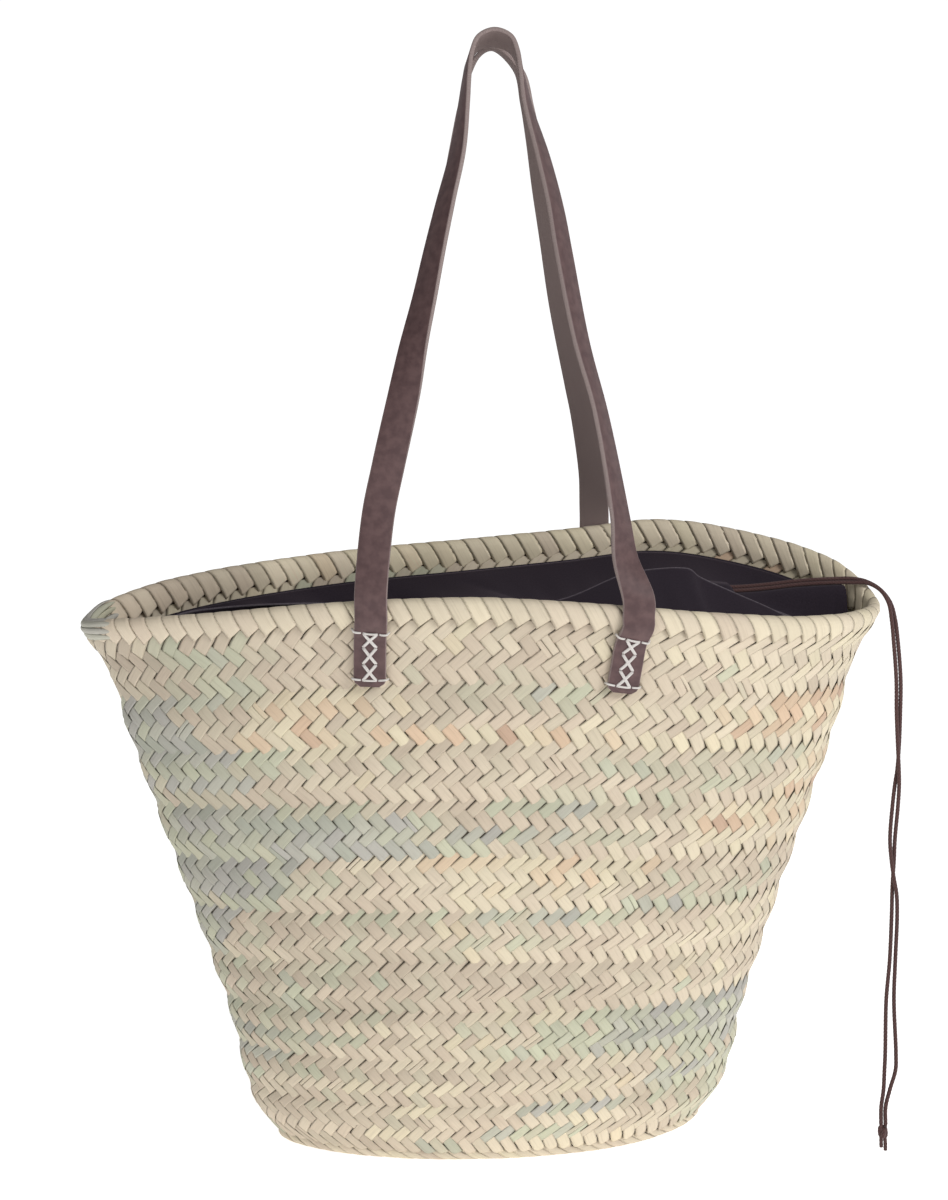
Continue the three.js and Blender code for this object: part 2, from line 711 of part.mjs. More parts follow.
const straw = new THREE.Group();
straw.add(piece("straw_base", strawBase(), STRAW));
straw.add(piece("straw_wall", strawWall(), STRAW));
straw.add(piece("straw_rim", strawRim(), STRAW));

const lining = new THREE.Group();
lining.add(piece("lining_bag", liningBag(), COTTON));
lining.add(piece("lining_collar", liningCollar(), COTTON));

const straps = new THREE.Group();
straps.add(piece("strap_front", strap(frontStrap), LEATHER));
straps.add(piece("strap_back", strap(backStrap), LEATHER));

const drawcord = new THREE.Group();
drawcord.add(piece("drawcord_a", cordStrand(1), CORD));
drawcord.add(piece("drawcord_b", cordStrand(-1), CORD));
drawcord.add(piece("cord_knot", cordKnot(), CORD));

const bag = new THREE.Group();
bag.add(straw, lining, straps, drawcord);

export default bag;
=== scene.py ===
# %% [markdown]
# # A straw basket bag
#
# A market basket is one long braid of palm leaf, wound in turns and sewn edge to edge. Its mouth is
# bound with a rolled rim, two leather straps are cross-stitched to it, and a dark cotton lining with
# a drawstring collar is sewn inside. The solids of all these pieces are loaded first and stay as they
# are: every piece made here is laid over the solid that it stands for.

# %% Load the solids
import math

import bpy
import numpy as np
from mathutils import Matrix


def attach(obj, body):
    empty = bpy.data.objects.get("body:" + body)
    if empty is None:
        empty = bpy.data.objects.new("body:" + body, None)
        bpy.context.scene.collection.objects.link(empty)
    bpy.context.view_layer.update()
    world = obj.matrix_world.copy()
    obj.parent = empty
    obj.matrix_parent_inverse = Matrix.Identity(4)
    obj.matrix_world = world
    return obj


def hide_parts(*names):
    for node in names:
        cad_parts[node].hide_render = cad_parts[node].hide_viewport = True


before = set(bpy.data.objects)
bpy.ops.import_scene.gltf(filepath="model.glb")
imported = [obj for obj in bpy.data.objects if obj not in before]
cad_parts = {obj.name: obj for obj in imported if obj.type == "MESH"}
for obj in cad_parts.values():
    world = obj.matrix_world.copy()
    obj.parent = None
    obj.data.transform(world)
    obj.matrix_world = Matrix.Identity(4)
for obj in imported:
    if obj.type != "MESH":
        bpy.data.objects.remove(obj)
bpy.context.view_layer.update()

print("solids:", sorted(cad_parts))

# %% [markdown]
# ## Sizes
#
# All shapes are worked out in millimetres, as a maker would measure them, and become metres when a
# mesh is made. The sizes are those of the solids, so that each piece lands on its own solid. Two
# places differ by a few millimetres: the rim is up to 4 mm higher round the right end, and the front
# strap's right end sits 5 to 6 mm further left.

# %% Sizes of the straw, the lining and the straps
MM = 0.001
FOOT_WIDTH, FOOT_DEPTH, FOOT_LIP_HEIGHT, FOOT_LIP_WIDTH, FOOT_RIGHT_LIFT = 287, 119, 10, 8.5, 5
MOUTH_WIDTH, MOUTH_DEPTH, MOUTH_SHIFT, MOUTH_FULLNESS = 509, 196, -2.8, 0.18
RIM_END_HEIGHT, RIM_WAVE, RIM_ROLL_HEIGHT, RIM_ROLL_WIDTH = 354, 43, 15, 9.6
WALL_THICKNESS, BRAID_TURNS, BRAID_BULGE, CLEARANCE = 3, 10, 2.5, 0.35
LINING_DROP, COLLAR_DROP = 20, 3
STRAP_WIDTH, STRAP_THICKNESS, STRAP_TAB_LENGTH = 20, 3, 54
CORD_DIAMETER = 2.8

# Rise up the wall, share of the way from the foot's width and depth to the mouth's.
WALL_SECTIONS = np.array([
    (0, 0, 0), (0.02, 0.063, 0.09), (0.068, 0.157, 0.27), (0.132, 0.202, 0.39),
    (0.195, 0.238, 0.47), (0.271, 0.296, 0.56), (0.407, 0.42, 0.69), (0.505, 0.511, 0.77),
    (0.589, 0.596, 0.82), (0.711, 0.709, 0.88), (0.811, 0.803, 0.92), (0.892, 0.865, 0.95),
    (0.96, 0.925, 0.98), (1, 1.013, 1.03),
])
# Angle round the mouth from its right end over the back, lift of the rim as a share of its wave.
RIM_LINE = np.array([
    (0, 0.07), (11, 0.27), (22, 0.52), (45, 0.87), (60, 1), (75, 0.84), (92, 0.7), (110, 0.6),
    (140, 0.37), (162, 0.14), (180, -0.05), (205, 0.07), (224, 0.23), (249, 0.49), (267, 0.56), (284, 0.44),
    (300, 0.26), (320, 0.08), (342, 0.02),
])

# %% [markdown]
# ## Curves through tables, and the basket's surface
#
# The basket has no simple formula: its outline was measured at some heights. A smooth curve through
# such a table of rows gives every height between them. The wall is then a surface with two
# parameters, the angle round the basket and the rise from foot to mouth.


# %% Curve through a table, and the surfaces of wall, rim and foot
def read(rows, column, place, period=0.0):
    """Cubic through the table's rows. Its slope at a row is the slope between the two neighbours of
    that row. With a period the table runs round."""
    keys, values = rows[:, 0], rows[:, column]
    place = np.asarray(place, float)
    if period:
        place = place % period
        keys = np.concatenate([keys[-2:] - period, keys, keys[:3] + period])
        values = np.concatenate([values[-2:], values, values[:3]])
    else:
        keys = np.concatenate([keys[:1], keys, keys[-1:]])
        values = np.concatenate([values[:1], values, values[-1:]])
    b = np.clip(np.searchsorted(keys[1:-1], place, side="right") - 1, 0, len(keys) - 4) + 1
    span = keys[b + 1] - keys[b]

    def slope(p, q):
        run = keys[q] - keys[p]
        return np.where(run > 0, (values[q] - values[p]) / np.where(run > 0, run, 1), 0)

    start, end = slope(b - 1, b + 1) * span, slope(b, b + 2) * span
    t = (place - keys[b]) / span
    return (
        (2 * t**3 - 3 * t**2 + 1) * values[b] + (t**3 - 2 * t**2 + t) * start
        + (3 * t**2 - 2 * t**3) * values[b + 1] + (t**3 - t**2) * end
    )


def lerp(a, b, share):
    """Straight line from a to b: a + (b - a) share."""
    return a + (b - a) * share


def paired(u, v):
    """Two arrays brought to one shape and set side by side, as a map's two numbers."""
    return np.stack(np.broadcast_arrays(u, v), -1)


def unit(vectors):
    """Vectors divided by their lengths."""
    return vectors / np.maximum(np.linalg.norm(vectors, axis=-1, keepdims=True), 1e-9)


def oval(angle, half_width, half_depth, fullness):
    """Pointed oval: x = a cos t, y = b sin t |sin t|^(0.12 + 0.05 (1 - cos t)) (1 + f cos t)."""
    c, s = np.cos(angle), np.sin(angle)
    return half_width * c, half_depth * s * np.abs(s) ** (0.12 + 0.05 * (1 - c)) * (1 + fullness * c)


def foot_lift(angle):
    """The right end of the foot is lifted: 5 mm times the square of (cos t - 0.45) / 0.55."""
    return FOOT_RIGHT_LIFT * np.maximum(0, (np.cos(angle) - 0.45) / 0.55) ** 2


def rim_top(angle):
    """Height of the rim's top: that of its ends plus the wave times the table's share."""
    return RIM_END_HEIGHT + RIM_WAVE * read(RIM_LINE, 1, np.degrees(angle), 360)


def wall_bottom(angle):
    """The wall starts just above the lip of the foot."""
    return FOOT_LIP_HEIGHT + CLEARANCE + foot_lift(angle)


def wall_top(angle):
    """The wall ends just under the roll of the rim."""
    return rim_top(angle) - RIM_ROLL_HEIGHT - CLEARANCE


def turn_rise(turn):
    """Rise of a place counted in turns of the braid: t / 10 - 0.025 sin(pi t / 10)."""
    return turn / BRAID_TURNS - 0.025 * np.sin(np.pi * turn / BRAID_TURNS)


def wall_point(angle, rise, inset):
    """Outside of the wall, moved inwards by inset: an oval whose half sizes grow with the rise."""
    angle, rise, inset = np.broadcast_arrays(*(np.asarray(v, float) for v in (angle, rise, inset)))
    half_width = lerp(FOOT_WIDTH, MOUTH_WIDTH, read(WALL_SECTIONS, 1, rise)) / 2 - inset
    half_depth = lerp(FOOT_DEPTH, MOUTH_DEPTH, read(WALL_SECTIONS, 2, rise)) / 2 - inset
    x, y = oval(angle, half_width, half_depth, MOUTH_FULLNESS * rise)
    return np.stack([x + MOUTH_SHIFT * rise**2, y, lerp(wall_bottom(angle), wall_top(angle), rise)], -1)


def braid_inset(turn):
    """The braid bulges in the middle of each turn: 2.5 mm times (1 - |sin(pi t)|)."""
    return BRAID_BULGE * (1 - np.abs(np.sin(np.pi * turn)))


def rim_centre(angle):
    """Middle of the rim's roll: the mouth's oval, half a roll under the rim's top."""
    x, y = oval(angle, MOUTH_WIDTH / 2, MOUTH_DEPTH / 2, MOUTH_FULLNESS)
    return np.stack([x + MOUTH_SHIFT, y, rim_top(angle) - RIM_ROLL_HEIGHT / 2], -1)


def rim_outward(angle):
    """Level direction square to the rim, from the difference of two places close together."""
    along = rim_centre(angle + 0.01) - rim_centre(angle - 0.01)
    return unit(np.stack([along[..., 1], -along[..., 0], 0 * along[..., 0]], -1))


def even_angles(ring, shares):
    """Angles at which a ring, a function of the angle, has run the given shares of its length."""
    fine = np.linspace(0, 2 * np.pi, 1441)
    steps = np.linalg.norm(np.diff(ring(fine), axis=0), axis=1)
    run = np.concatenate([[0], np.cumsum(steps)])
    whole = np.floor(shares)
    return np.interp((shares - whole) * run[-1], run, fine) + 2 * np.pi * whole, run[-1]


print("mouth runs", round(even_angles(rim_centre, np.array([0.0]))[1]), "mm round")

# %% [markdown]
# ## Meshes from whole arrays
#
# Every piece here is made of closed skins. A strip of leaf, a wrap of the rim, a stitch and a strap
# are all the same thing to a mesh: a small closed section carried along a path. One helper turns an
# array of such sections into faces. Another one closes a sheet between its two sides.


# %% Helpers that turn arrays into closed meshes
def swept_faces(count, stations, size, closed=False):
    """Faces of count tubes, each of stations rings with size points, capped at both ends unless the
    rings run round."""
    bands = stations if closed else stations - 1
    tube, band, side = np.meshgrid(np.arange(count), np.arange(bands), np.arange(size), indexing="ij")
    base, ahead, over = tube * stations * size, (band + 1) % stations, (side + 1) % size
    quads = np.stack([
        base + band * size + side, base + band * size + over,
        base + ahead * size + over, base + ahead * size + side,
    ], -1).reshape(-1, 4)
    if closed:
        return quads.tolist()
    first = np.arange(count)[:, None] * stations * size + np.arange(size)[::-1]
    last = np.arange(count)[:, None] * stations * size + (stations - 1) * size + np.arange(size)
    return quads.tolist() + first.tolist() + last.tolist()


def enclosed(points, faces):
    """Six times the volume within the first tube's faces; below zero the faces point inwards."""
    quads = np.array([f for f in faces if len(f) == 4][:4000])
    p = points[quads]
    middle = points[quads.ravel()].mean(0)
    a, b, c, d = (p[:, i] - middle for i in range(4))
    return float((np.cross(a, b) * c).sum() + (np.cross(a, c) * d).sum())


def skin(name, points, faces, material, slot, *nodes, uv=None, **values):
    """A mesh object from points in millimetres. values are one number a point, kept on the mesh for
    its material to read."""
    if enclosed(points, faces) < 0:
        faces = [f[::-1] for f in faces]
    mesh = bpy.data.meshes.new(name)
    mesh.from_pydata((points * MM).tolist(), [], faces)
    for key, numbers in values.items():
        mesh.attributes.new(key, "FLOAT", "POINT").data.foreach_set(
            "value", np.asarray(numbers, np.float32).ravel()
        )
    if uv is not None:
        corners = np.empty(len(mesh.loops), np.int32)
        mesh.loops.foreach_get("vertex_index", corners)
        layer = mesh.uv_layers.new(name="UVMap")
        layer.data.foreach_set("uv", np.asarray(uv, np.float32).reshape(-1, 2)[corners].ravel())
    mesh.polygons.foreach_set("use_smooth", np.full(len(mesh.polygons), True))
    mesh.update()
    piece = bpy.data.objects.new(name, mesh)
    bpy.context.scene.collection.objects.link(piece)
    mesh.materials.append(material)
    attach(piece, "root")
    if nodes:
        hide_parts(*nodes)
    triangles = sum(len(f) - 2 for f in faces)
    print(f"{name}: {len(points)} points, {triangles} triangles")
    return piece


def swept(name, rings, material, slot, *nodes, closed=False, **more):
    """Skin of many tubes. rings is an array of tubes, stations, points round and xyz."""
    count, stations, size, _ = rings.shape
    faces = swept_faces(count, stations, size, closed)
    return skin(name, rings.reshape(-1, 3), faces, material, slot, *nodes, **more)


def frames_along(path, side):
    """Tangent, width and thickness directions along a path, the width made square to the path."""
    along = unit(np.gradient(path, axis=-2))
    wide = unit(side - (side * along).sum(-1, keepdims=True) * along)
    return along, wide, np.cross(along, wide)


def around(wide, up, turns):
    """Circle of radius 1 at each place of a path: cos a times one direction plus sin a times the
    other, for each turn a."""
    return wide[:, None] * np.cos(turns)[..., None] + up[:, None] * np.sin(turns)[..., None]


# %% [markdown]
# ## The camera
#
# The camera stands 1.6 m from the bag, ten degrees above the level and six degrees to the left. Its
# lens was worked out from how open the two ovals of mouth and foot look.

# %% Camera
CAMERA_TARGET = np.array([-11, 0, 359])
CAMERA_DISTANCE, CAMERA_HEIGHT_ANGLE, CAMERA_SIDE_ANGLE = 1600, 10, -6
CAMERA_LENS, CAMERA_SENSOR = 74.4, 36


def add_camera():
    """The camera stands at its target plus the distance times (sin a cos h, -cos a cos h, sin h), for
    the side angle a and the height angle h, and looks back along that line."""
    height, turn = math.radians(CAMERA_HEIGHT_ANGLE), math.radians(CAMERA_SIDE_ANGLE)
    back = np.array([
        math.sin(turn) * math.cos(height), -math.cos(turn) * math.cos(height), math.sin(height),
    ])
    camera = bpy.data.objects.new("camera", bpy.data.cameras.new("camera"))
    camera.data.lens = CAMERA_LENS
    camera.data.sensor_width = CAMERA_SENSOR
    camera.data.clip_start, camera.data.clip_end = 0.05, 60
    camera.location = (CAMERA_TARGET + CAMERA_DISTANCE * back) * MM
    camera.rotation_mode = "QUATERNION"
    direction = camera.location.copy()
    direction.x, direction.y, direction.z = back
    camera.rotation_quaternion = direction.to_track_quat("Z", "Y")
    bpy.context.scene.collection.objects.link(camera)
    bpy.context.scene.camera = camera
    return camera


camera = add_camera()
print("camera at", [round(v, 3) for v in camera.location])

# %% [markdown]
# ## Finishes
#
# No picture is used: every finish is worked out from noise and waves. Three effects are needed by
# several materials, so each is a node group with named inputs: the long fibres of a leaf, the threads
# of a woven cloth, and the fine speckle of raw leather and of a waxed thread.


# %% Helpers for materials
def node_group(name, inputs, outputs):
    """Empty group with named inputs and outputs, and its two end nodes."""
    group = bpy.data.node_groups.new(name, "ShaderNodeTree")
    for label, kind, value in inputs:
        socket = group.interface.new_socket(label, in_out="INPUT", socket_type=kind)
        if value is not None:
            socket.default_value = value
    for label, kind in outputs:
        group.interface.new_socket(label, in_out="OUTPUT", socket_type=kind)
    return group, group.nodes.new("NodeGroupInput"), group.nodes.new("NodeGroupOutput")


def math_node(tree, operation, a, b=None, c=None):
    """One sum. Each of a, b and c is a number or another node's output."""
    node = tree.nodes.new("ShaderNodeMath")
    node.operation = operation
    for socket, value in zip(node.inputs, (a, b, c)):
        if value is None:
            continue
        if isinstance(value, (int, float)):
            socket.default_value = value
        else:
            tree.links.new(value, socket)
    return node.outputs[0]


def noise_node(tree, vector, scale, detail=2.0, roughness=0.5):
    """Cloudy noise between 0 and 1."""
    node = tree.nodes.new("ShaderNodeTexNoise")
    node.inputs["Scale"].default_value = scale
    node.inputs["Detail"].default_value = detail
    node.inputs["Roughness"].default_value = roughness
    tree.links.new(vector, node.inputs["Vector"])
    return node.outputs["Fac"]


def stretched(tree, vector, scale):
    """The same place with each of its numbers times its own scale."""
    node = tree.nodes.new("ShaderNodeMapping")
    node.inputs["Scale"].default_value = scale
    tree.links.new(vector, node.inputs["Vector"])
    return node.outputs["Vector"]


def ramp_node(tree, factor, stops):
    """Colours along a line: stops are pairs of a place and a colour."""
    node = tree.nodes.new("ShaderNodeValToRGB")
    ramp = node.color_ramp
    while len(ramp.elements) < len(stops):
        ramp.elements.new(0.5)
    for element, (place, colour) in zip(ramp.elements, stops):
        element.position = place
        element.color = (*colour, 1)
    tree.links.new(factor, node.inputs["Fac"])
    return node.outputs["Color"]


def mixed(tree, kind, factor, a, b):
    """Two colours mixed. Each is a colour or another node's output."""
    node = tree.nodes.new("ShaderNodeMix")
    node.data_type = "RGBA"
    node.blend_type = kind
    for socket, value in ((node.inputs[0], factor), (node.inputs[6], a), (node.inputs[7], b)):
        if isinstance(value, (int, float)):
            socket.default_value = value
        elif isinstance(value, tuple):
            socket.default_value = (*value, 1)
        else:
            tree.links.new(value, socket)
    return node.outputs[2]


def attribute_node(tree, name):
    """A number that the mesh keeps for each of its points."""
    node = tree.nodes.new("ShaderNodeAttribute")
    node.attribute_name = name
    return node.outputs["Fac"]


def bump_node(tree, height, strength, distance):
    """Fine relief from a height, at most distance metres high."""
    node = tree.nodes.new("ShaderNodeBump")
    node.inputs["Strength"].default_value = strength
    node.inputs["Distance"].default_value = distance
    tree.links.new(height, node.inputs["Height"])
    return node.outputs["Normal"]


def new_material(name, roughness, specular=0.4, sheen=0.0):
    """A material with its constants on the shader's own sockets."""
    material = bpy.data.materials.new(name)
    material.use_nodes = True
    shader = material.node_tree.nodes["Principled BSDF"]
    shader.inputs["Roughness"].default_value = roughness
    shader.inputs["Specular IOR Level"].default_value = specular
    shader.inputs["Sheen Weight"].default_value = sheen
    return material, material.node_tree, shader


def place_group(tree, group, vector, **values):
    """A shared effect placed in a material with the material's own values."""
    node = tree.nodes.new("ShaderNodeGroup")
    node.node_tree = group
    tree.links.new(vector, node.inputs["Vector"])
    for label, value in values.items():
        node.inputs[label].default_value = value
    return node


def uv_of(tree):
    """The piece's own map, in millimetres."""
    return tree.nodes.new("ShaderNodeTexCoord").outputs["UV"]


print("helpers for materials are ready")

# %% [markdown]
# ## The shared effects
#
# A leaf's fibres are noise that is stretched a lot along the leaf. A plain weave is one wave times
# another. Raw leather and thread need a small sharp noise over a large soft one.


# %% Fibres, weave and speckle
def fibre_group():
    """Long fibres: noise stretched along the leaf, fine lines over broad bands."""
    group, inside, outside = node_group(
        "leaf fibres",
        [("Vector", "NodeSocketVector", None), ("Lines", "NodeSocketFloat", 1.0)],
        [("Streak", "NodeSocketFloat"), ("Height", "NodeSocketFloat")],
    )
    vector = inside.outputs["Vector"]
    fine = noise_node(group, stretched(group, vector, (2.6, 0.05, 1)), 1.0, 3.0, 0.6)
    broad = noise_node(group, stretched(group, vector, (0.55, 0.035, 1)), 1.0, 2.0, 0.5)
    streak = math_node(group, "MULTIPLY_ADD", fine, 0.55, math_node(group, "MULTIPLY", broad, 0.45))
    group.links.new(streak, outside.inputs["Streak"])
    height = math_node(group, "MULTIPLY", fine, inside.outputs["Lines"])
    group.links.new(height, outside.inputs["Height"])
    return group


def weave_group():
    """Plain weave: one wave across the other, each thread rounded, with uneven threads."""
    group, inside, outside = node_group(
        "woven threads",
        [("Vector", "NodeSocketVector", None), ("Threads", "NodeSocketFloat", 2.4)],
        [("Height", "NodeSocketFloat"), ("Fleck", "NodeSocketFloat")],
    )
    split = group.nodes.new("ShaderNodeSeparateXYZ")
    group.links.new(inside.outputs["Vector"], split.inputs[0])
    waves = []
    for socket in (split.outputs[0], split.outputs[1]):
        turned = math_node(group, "MULTIPLY", socket, inside.outputs["Threads"])
        waves.append(math_node(group, "SINE", math_node(group, "MULTIPLY", turned, 2 * math.pi)))
    height = math_node(group, "MULTIPLY", waves[0], waves[1])
    group.links.new(math_node(group, "MULTIPLY_ADD", height, 0.5, 0.5), outside.inputs["Height"])
    fleck = noise_node(group, inside.outputs["Vector"], 0.9, 4.0, 0.7)
    group.links.new(fleck, outside.inputs["Fleck"])
    return group


def speckle_group():
    """Fine speckle: two sizes of noise, the small one sharpened."""
    group, inside, outside = node_group(
        "fine speckle",
        [("Vector", "NodeSocketVector", None), ("Size", "NodeSocketFloat", 1.0)],
        [("Speckle", "NodeSocketFloat"), ("Cloud", "NodeSocketFloat")],
    )
    scaled = group.nodes.new("ShaderNodeVectorMath")
    scaled.operation = "SCALE"
    group.links.new(inside.outputs["Vector"], scaled.inputs[0])
    group.links.new(inside.outputs["Size"], scaled.inputs["Scale"])
    group.links.new(noise_node(group, scaled.outputs[0], 3.0, 3.0, 0.75), outside.inputs["Speckle"])
    group.links.new(noise_node(group, scaled.outputs[0], 0.16, 2.0, 0.5), outside.inputs["Cloud"])
    return group


FIBRES, WEAVE, SPECKLE = fibre_group(), weave_group(), speckle_group()
print("shared effects:", FIBRES.name, WEAVE.name, SPECKLE.name)

# %% [markdown]
# ## The drawcord
#
# Two thin braided strands leave the collar at the right, lie on its cloth, go over the rim and hang
# down outside with a knot at their end. A free cord follows its own weight, so the route was chosen
# point by point, and both strands turn round its middle line. They are made first, because the
# collar's cloth is drawn up to them later.

# %% Drawcord
# x, y, z of the middle line, angle of the first strand round it, half the distance between them.
CORD_ROUTE = np.array([
    (121, 8, 366.2, 90, 1.3), (139, 10, 363.6, 90, 1.3), (160, 12, 361.2, 90, 1.3),
    (181, 13.5, 361.9, 90, 1.3), (205, 13.5, 364.2, 90, 1.3), (227, 12, 365.4, 90, 1.35),
    (242, 11, 365.4, 90, 1.4), (250.5, 9.5, 364.4, 88, 1.5),
    (259, 7, 359.6, 80, 1.6), (264.3, 3, 351.6, 55, 1.6), (266.2, -1, 341, 25, 1.5),
    (267.5, -4, 326, 5, 1.48), (269.3, -6.5, 301.5, 0, 1.48), (269.4, -8.3, 280, 20, 1.5),
    (269.4, -10.7, 258.5, 60, 1.75), (269, -13, 241.5, 95, 1.8), (268.2, -14.4, 232.5, 125, 1.8),
    (266.8, -16.5, 219, 158, 1.8), (264.4, -20.8, 197, 192, 1.8), (264.3, -23.7, 182.5, 230, 1.75),
    (264.4, -26.1, 171.5, 270, 1.75), (264.7, -28.1, 162.5, 310, 1.75), (264.2, -31.5, 148.5, 345, 1.8),
    (261.7, -39, 120.5, 360, 1.9), (258.8, -46.3, 95.5, 360, 2.6), (257.2, -56.9, 62.5, 360, 3.6),
    (256.2, -60.2, 52.5, 360, 3.7), (253.1, -64.5, 40.5, 360, 2.1), (250.2, -68.3, 30, 360, 1.48),
    (249.6, -71.5, 19.9, 360, 1.5),
])


def through(points, each=24):
    """Centripetal curve through points: between two of them a cubic whose tangents weigh the
    neighbours by the square root of their distance."""
    ends = np.concatenate([[2 * points[0] - points[1]], points, [2 * points[-1] - points[-2]]])
    t = np.linspace(0, 1, each, endpoint=False)[:, None]
    parts = []
    for i in range(len(points) - 1):
        p0, p1, p2, p3 = ends[i:i + 4]
        d0, d1, d2 = (np.sqrt(np.linalg.norm(b - a)) for a, b in ((p0, p1), (p1, p2), (p2, p3)))
        m1 = ((p1 - p0) / d0 - (p2 - p0) / (d0 + d1) + (p2 - p1) / d1) * d1
        m2 = ((p2 - p1) / d1 - (p3 - p1) / (d1 + d2) + (p3 - p2) / d2) * d1
        parts.append(
            (2 * t**3 - 3 * t**2 + 1) * p1 + (t**3 - 2 * t**2 + t) * m1
            + (3 * t**2 - 2 * t**3) * p2 + (t**3 - t**2) * m2
        )
    return np.concatenate(parts + [points[-1:]])


def evenly(path, step):
    """The same path with points an even step apart."""
    run = np.concatenate([[0], np.cumsum(np.linalg.norm(np.diff(path, axis=0), axis=1))])
    count = max(int(run[-1] / step), 2)
    at = np.linspace(0, run[-1], count + 1)
    return np.stack([np.interp(at, run, path[:, k]) for k in range(3)], -1), at


def cord_material():
    """Dark brown cotton, with painted shade in the grooves of its plait."""
    material, tree, shader = new_material("braided cotton cord", 0.8, 0.25, 0.15)
    speckle = place_group(tree, SPECKLE, uv_of(tree), Size=1.0)
    colour = ramp_node(tree, speckle.outputs["Speckle"], [
        (0.3, (0.050, 0.023, 0.022)), (0.55, (0.115, 0.058, 0.055)), (0.8, (0.20, 0.12, 0.11)),
    ])
    # Painted shade: where the plait's strands dip, in its grooves, the colour is multiplied down to 0.45.
    groove_painted_shade = ramp_node(tree, attribute_node(tree, "plait"), [(0, (0.45, 0.42, 0.42)), (0.6, (1, 1, 1))])
    tree.links.new(mixed(tree, "MULTIPLY", 1.0, colour, groove_painted_shade), shader.inputs["Base Color"])
    tree.links.new(bump_node(tree, speckle.outputs["Speckle"], 0.4, 0.0001), shader.inputs["Normal"])
    return material


CORD = cord_material()
CORD_ROUND = np.linspace(0, 2 * np.pi, 17)[:-1]
PLAIT_TURN = 1.25
KNOT_RADIUS, TAIL_RADIUS = 1.35, 1.3


def braided_tube(path, at, radius):
    """Tube whose skin swells where strands of the plait cross: its radius is r times
    (0.9 + 0.1 |sin(2a + s) sin(2a - s)|) at the turn a, and s grows along the cord."""
    _, wide, thick = frames_along(path, np.array([0.31, 0.9, 0.2]))
    turn = CORD_ROUND[None, :]
    s = at[:, None] * PLAIT_TURN
    plait = np.abs(np.sin(2 * turn + s) * np.sin(2 * turn - s))
    r = radius * (0.9 + 0.1 * plait)
    rings = path[:, None] + r[..., None] * around(wide, thick, turn)
    uv = paired(turn * radius * 2, at[:, None])
    return rings, uv, plait


def cord_strand(name, side, node):
    """One strand: the middle line plus half the strands' distance, turned round it by the table's
    angle. Up to the rim the first strand also lies 1 mm higher and the second one 1 mm lower."""
    turn = np.radians(CORD_ROUTE[:, 3])
    away = side * CORD_ROUTE[:, 4]
    above = side * np.clip((254 - CORD_ROUTE[:, 0]) / 12, 0, 1) * (CORD_ROUTE[:, 2] > 355)
    points = CORD_ROUTE[:, :3] + np.stack([away * np.cos(turn), away * np.sin(turn), above], -1)
    path, at = evenly(through(points), 0.75)
    rings, uv, plait = braided_tube(path, at, CORD_DIAMETER / 2)
    strand = swept(name, rings[None], CORD, "cord", node, uv=uv, plait=plait)
    return strand, path, at[-1]


def knot():
    """Overhand knot under the two strands: one trefoil loop drawn tight, and two short tails."""
    end = CORD_ROUTE[-1, :3]
    centre = end - np.array([0, 0, CLEARANCE + 4.7])
    t = np.linspace(0, 2 * np.pi, 60)[:-1]
    loop = np.stack([
        0.95 * (np.sin(t) + 1.5 * np.sin(2 * t)), 0.75 * (np.cos(t) - 1.5 * np.cos(2 * t)),
        -3.3 * np.sin(3 * t),
    ], -1)
    path, at = evenly(np.concatenate([loop, loop[:1]]) + centre, 0.5)
    rings, uv, plait = braided_tube(path, at, KNOT_RADIUS)
    parts, maps, plaits = [rings], [uv], [plait]
    for side in (-1, 1):
        top = end + np.array([side * 1.5, 0, 0.3])
        low = -12.9 if side > 0 else -10.4
        tail = np.stack([
            top, top + (side * -0.5, 0, -4), centre + (side * 1.2, 0, -3.5),
            centre + (side * 1.45 + 0.3, 0.2 * side, -7.5), centre + (side * 1.5 + 0.5, 0.3 * side, low),
        ])
        tail_path, tail_at = evenly(through(tail), 0.5)
        rings, uv, plait = braided_tube(tail_path, tail_at, TAIL_RADIUS)
        parts.append(rings)
        maps.append(uv)
        plaits.append(plait)
    points, faces, uvs, marks, base = [], [], [], [], 0
    for rings, uv, plait in zip(parts, maps, plaits):
        faces += [[i + base for i in f] for f in swept_faces(1, rings.shape[0], rings.shape[1])]
        points.append(rings.reshape(-1, 3))
        uvs.append(uv.reshape(-1, 2))
        marks.append(plait.ravel())
        base += rings.shape[0] * rings.shape[1]
    return skin(
        "drawcord_knot", np.concatenate(points), faces, CORD, "cord", "cord_knot",
        uv=np.concatenate(uvs), plait=np.concatenate(marks),
    )


strand_a, path_a, length_a = cord_strand("drawcord_strand_a", 1, "drawcord_a")
strand_b, path_b, length_b = cord_strand("drawcord_strand_b", -1, "drawcord_b")
cord_knot = knot()
print("strands:", round(length_a), "and", round(length_b), "mm long")

# %% [markdown]
# ## Palm leaf
#
# Dried palm leaf is cream, yellow cream, pale green grey, grey lilac or a pinkish beige, and one leaf
# keeps its colour over its whole length. Each strip of the braid carries two numbers, its tint and
# its shade, and the fibres run along it on the strip's own map.

# %% Leaf materials
LEAF_TINTS = [
    (0.0, (0.41, 0.42, 0.34)),
    (0.14, (0.46, 0.44, 0.40)),
    (0.32, (0.55, 0.55, 0.41)),
    (0.47, (0.60, 0.50, 0.39)),
    (0.62, (0.67, 0.58, 0.45)),
    (0.76, (0.71, 0.63, 0.46)),
    (0.88, (0.69, 0.51, 0.36)),
    (1.0, (0.55, 0.38, 0.28)),
]


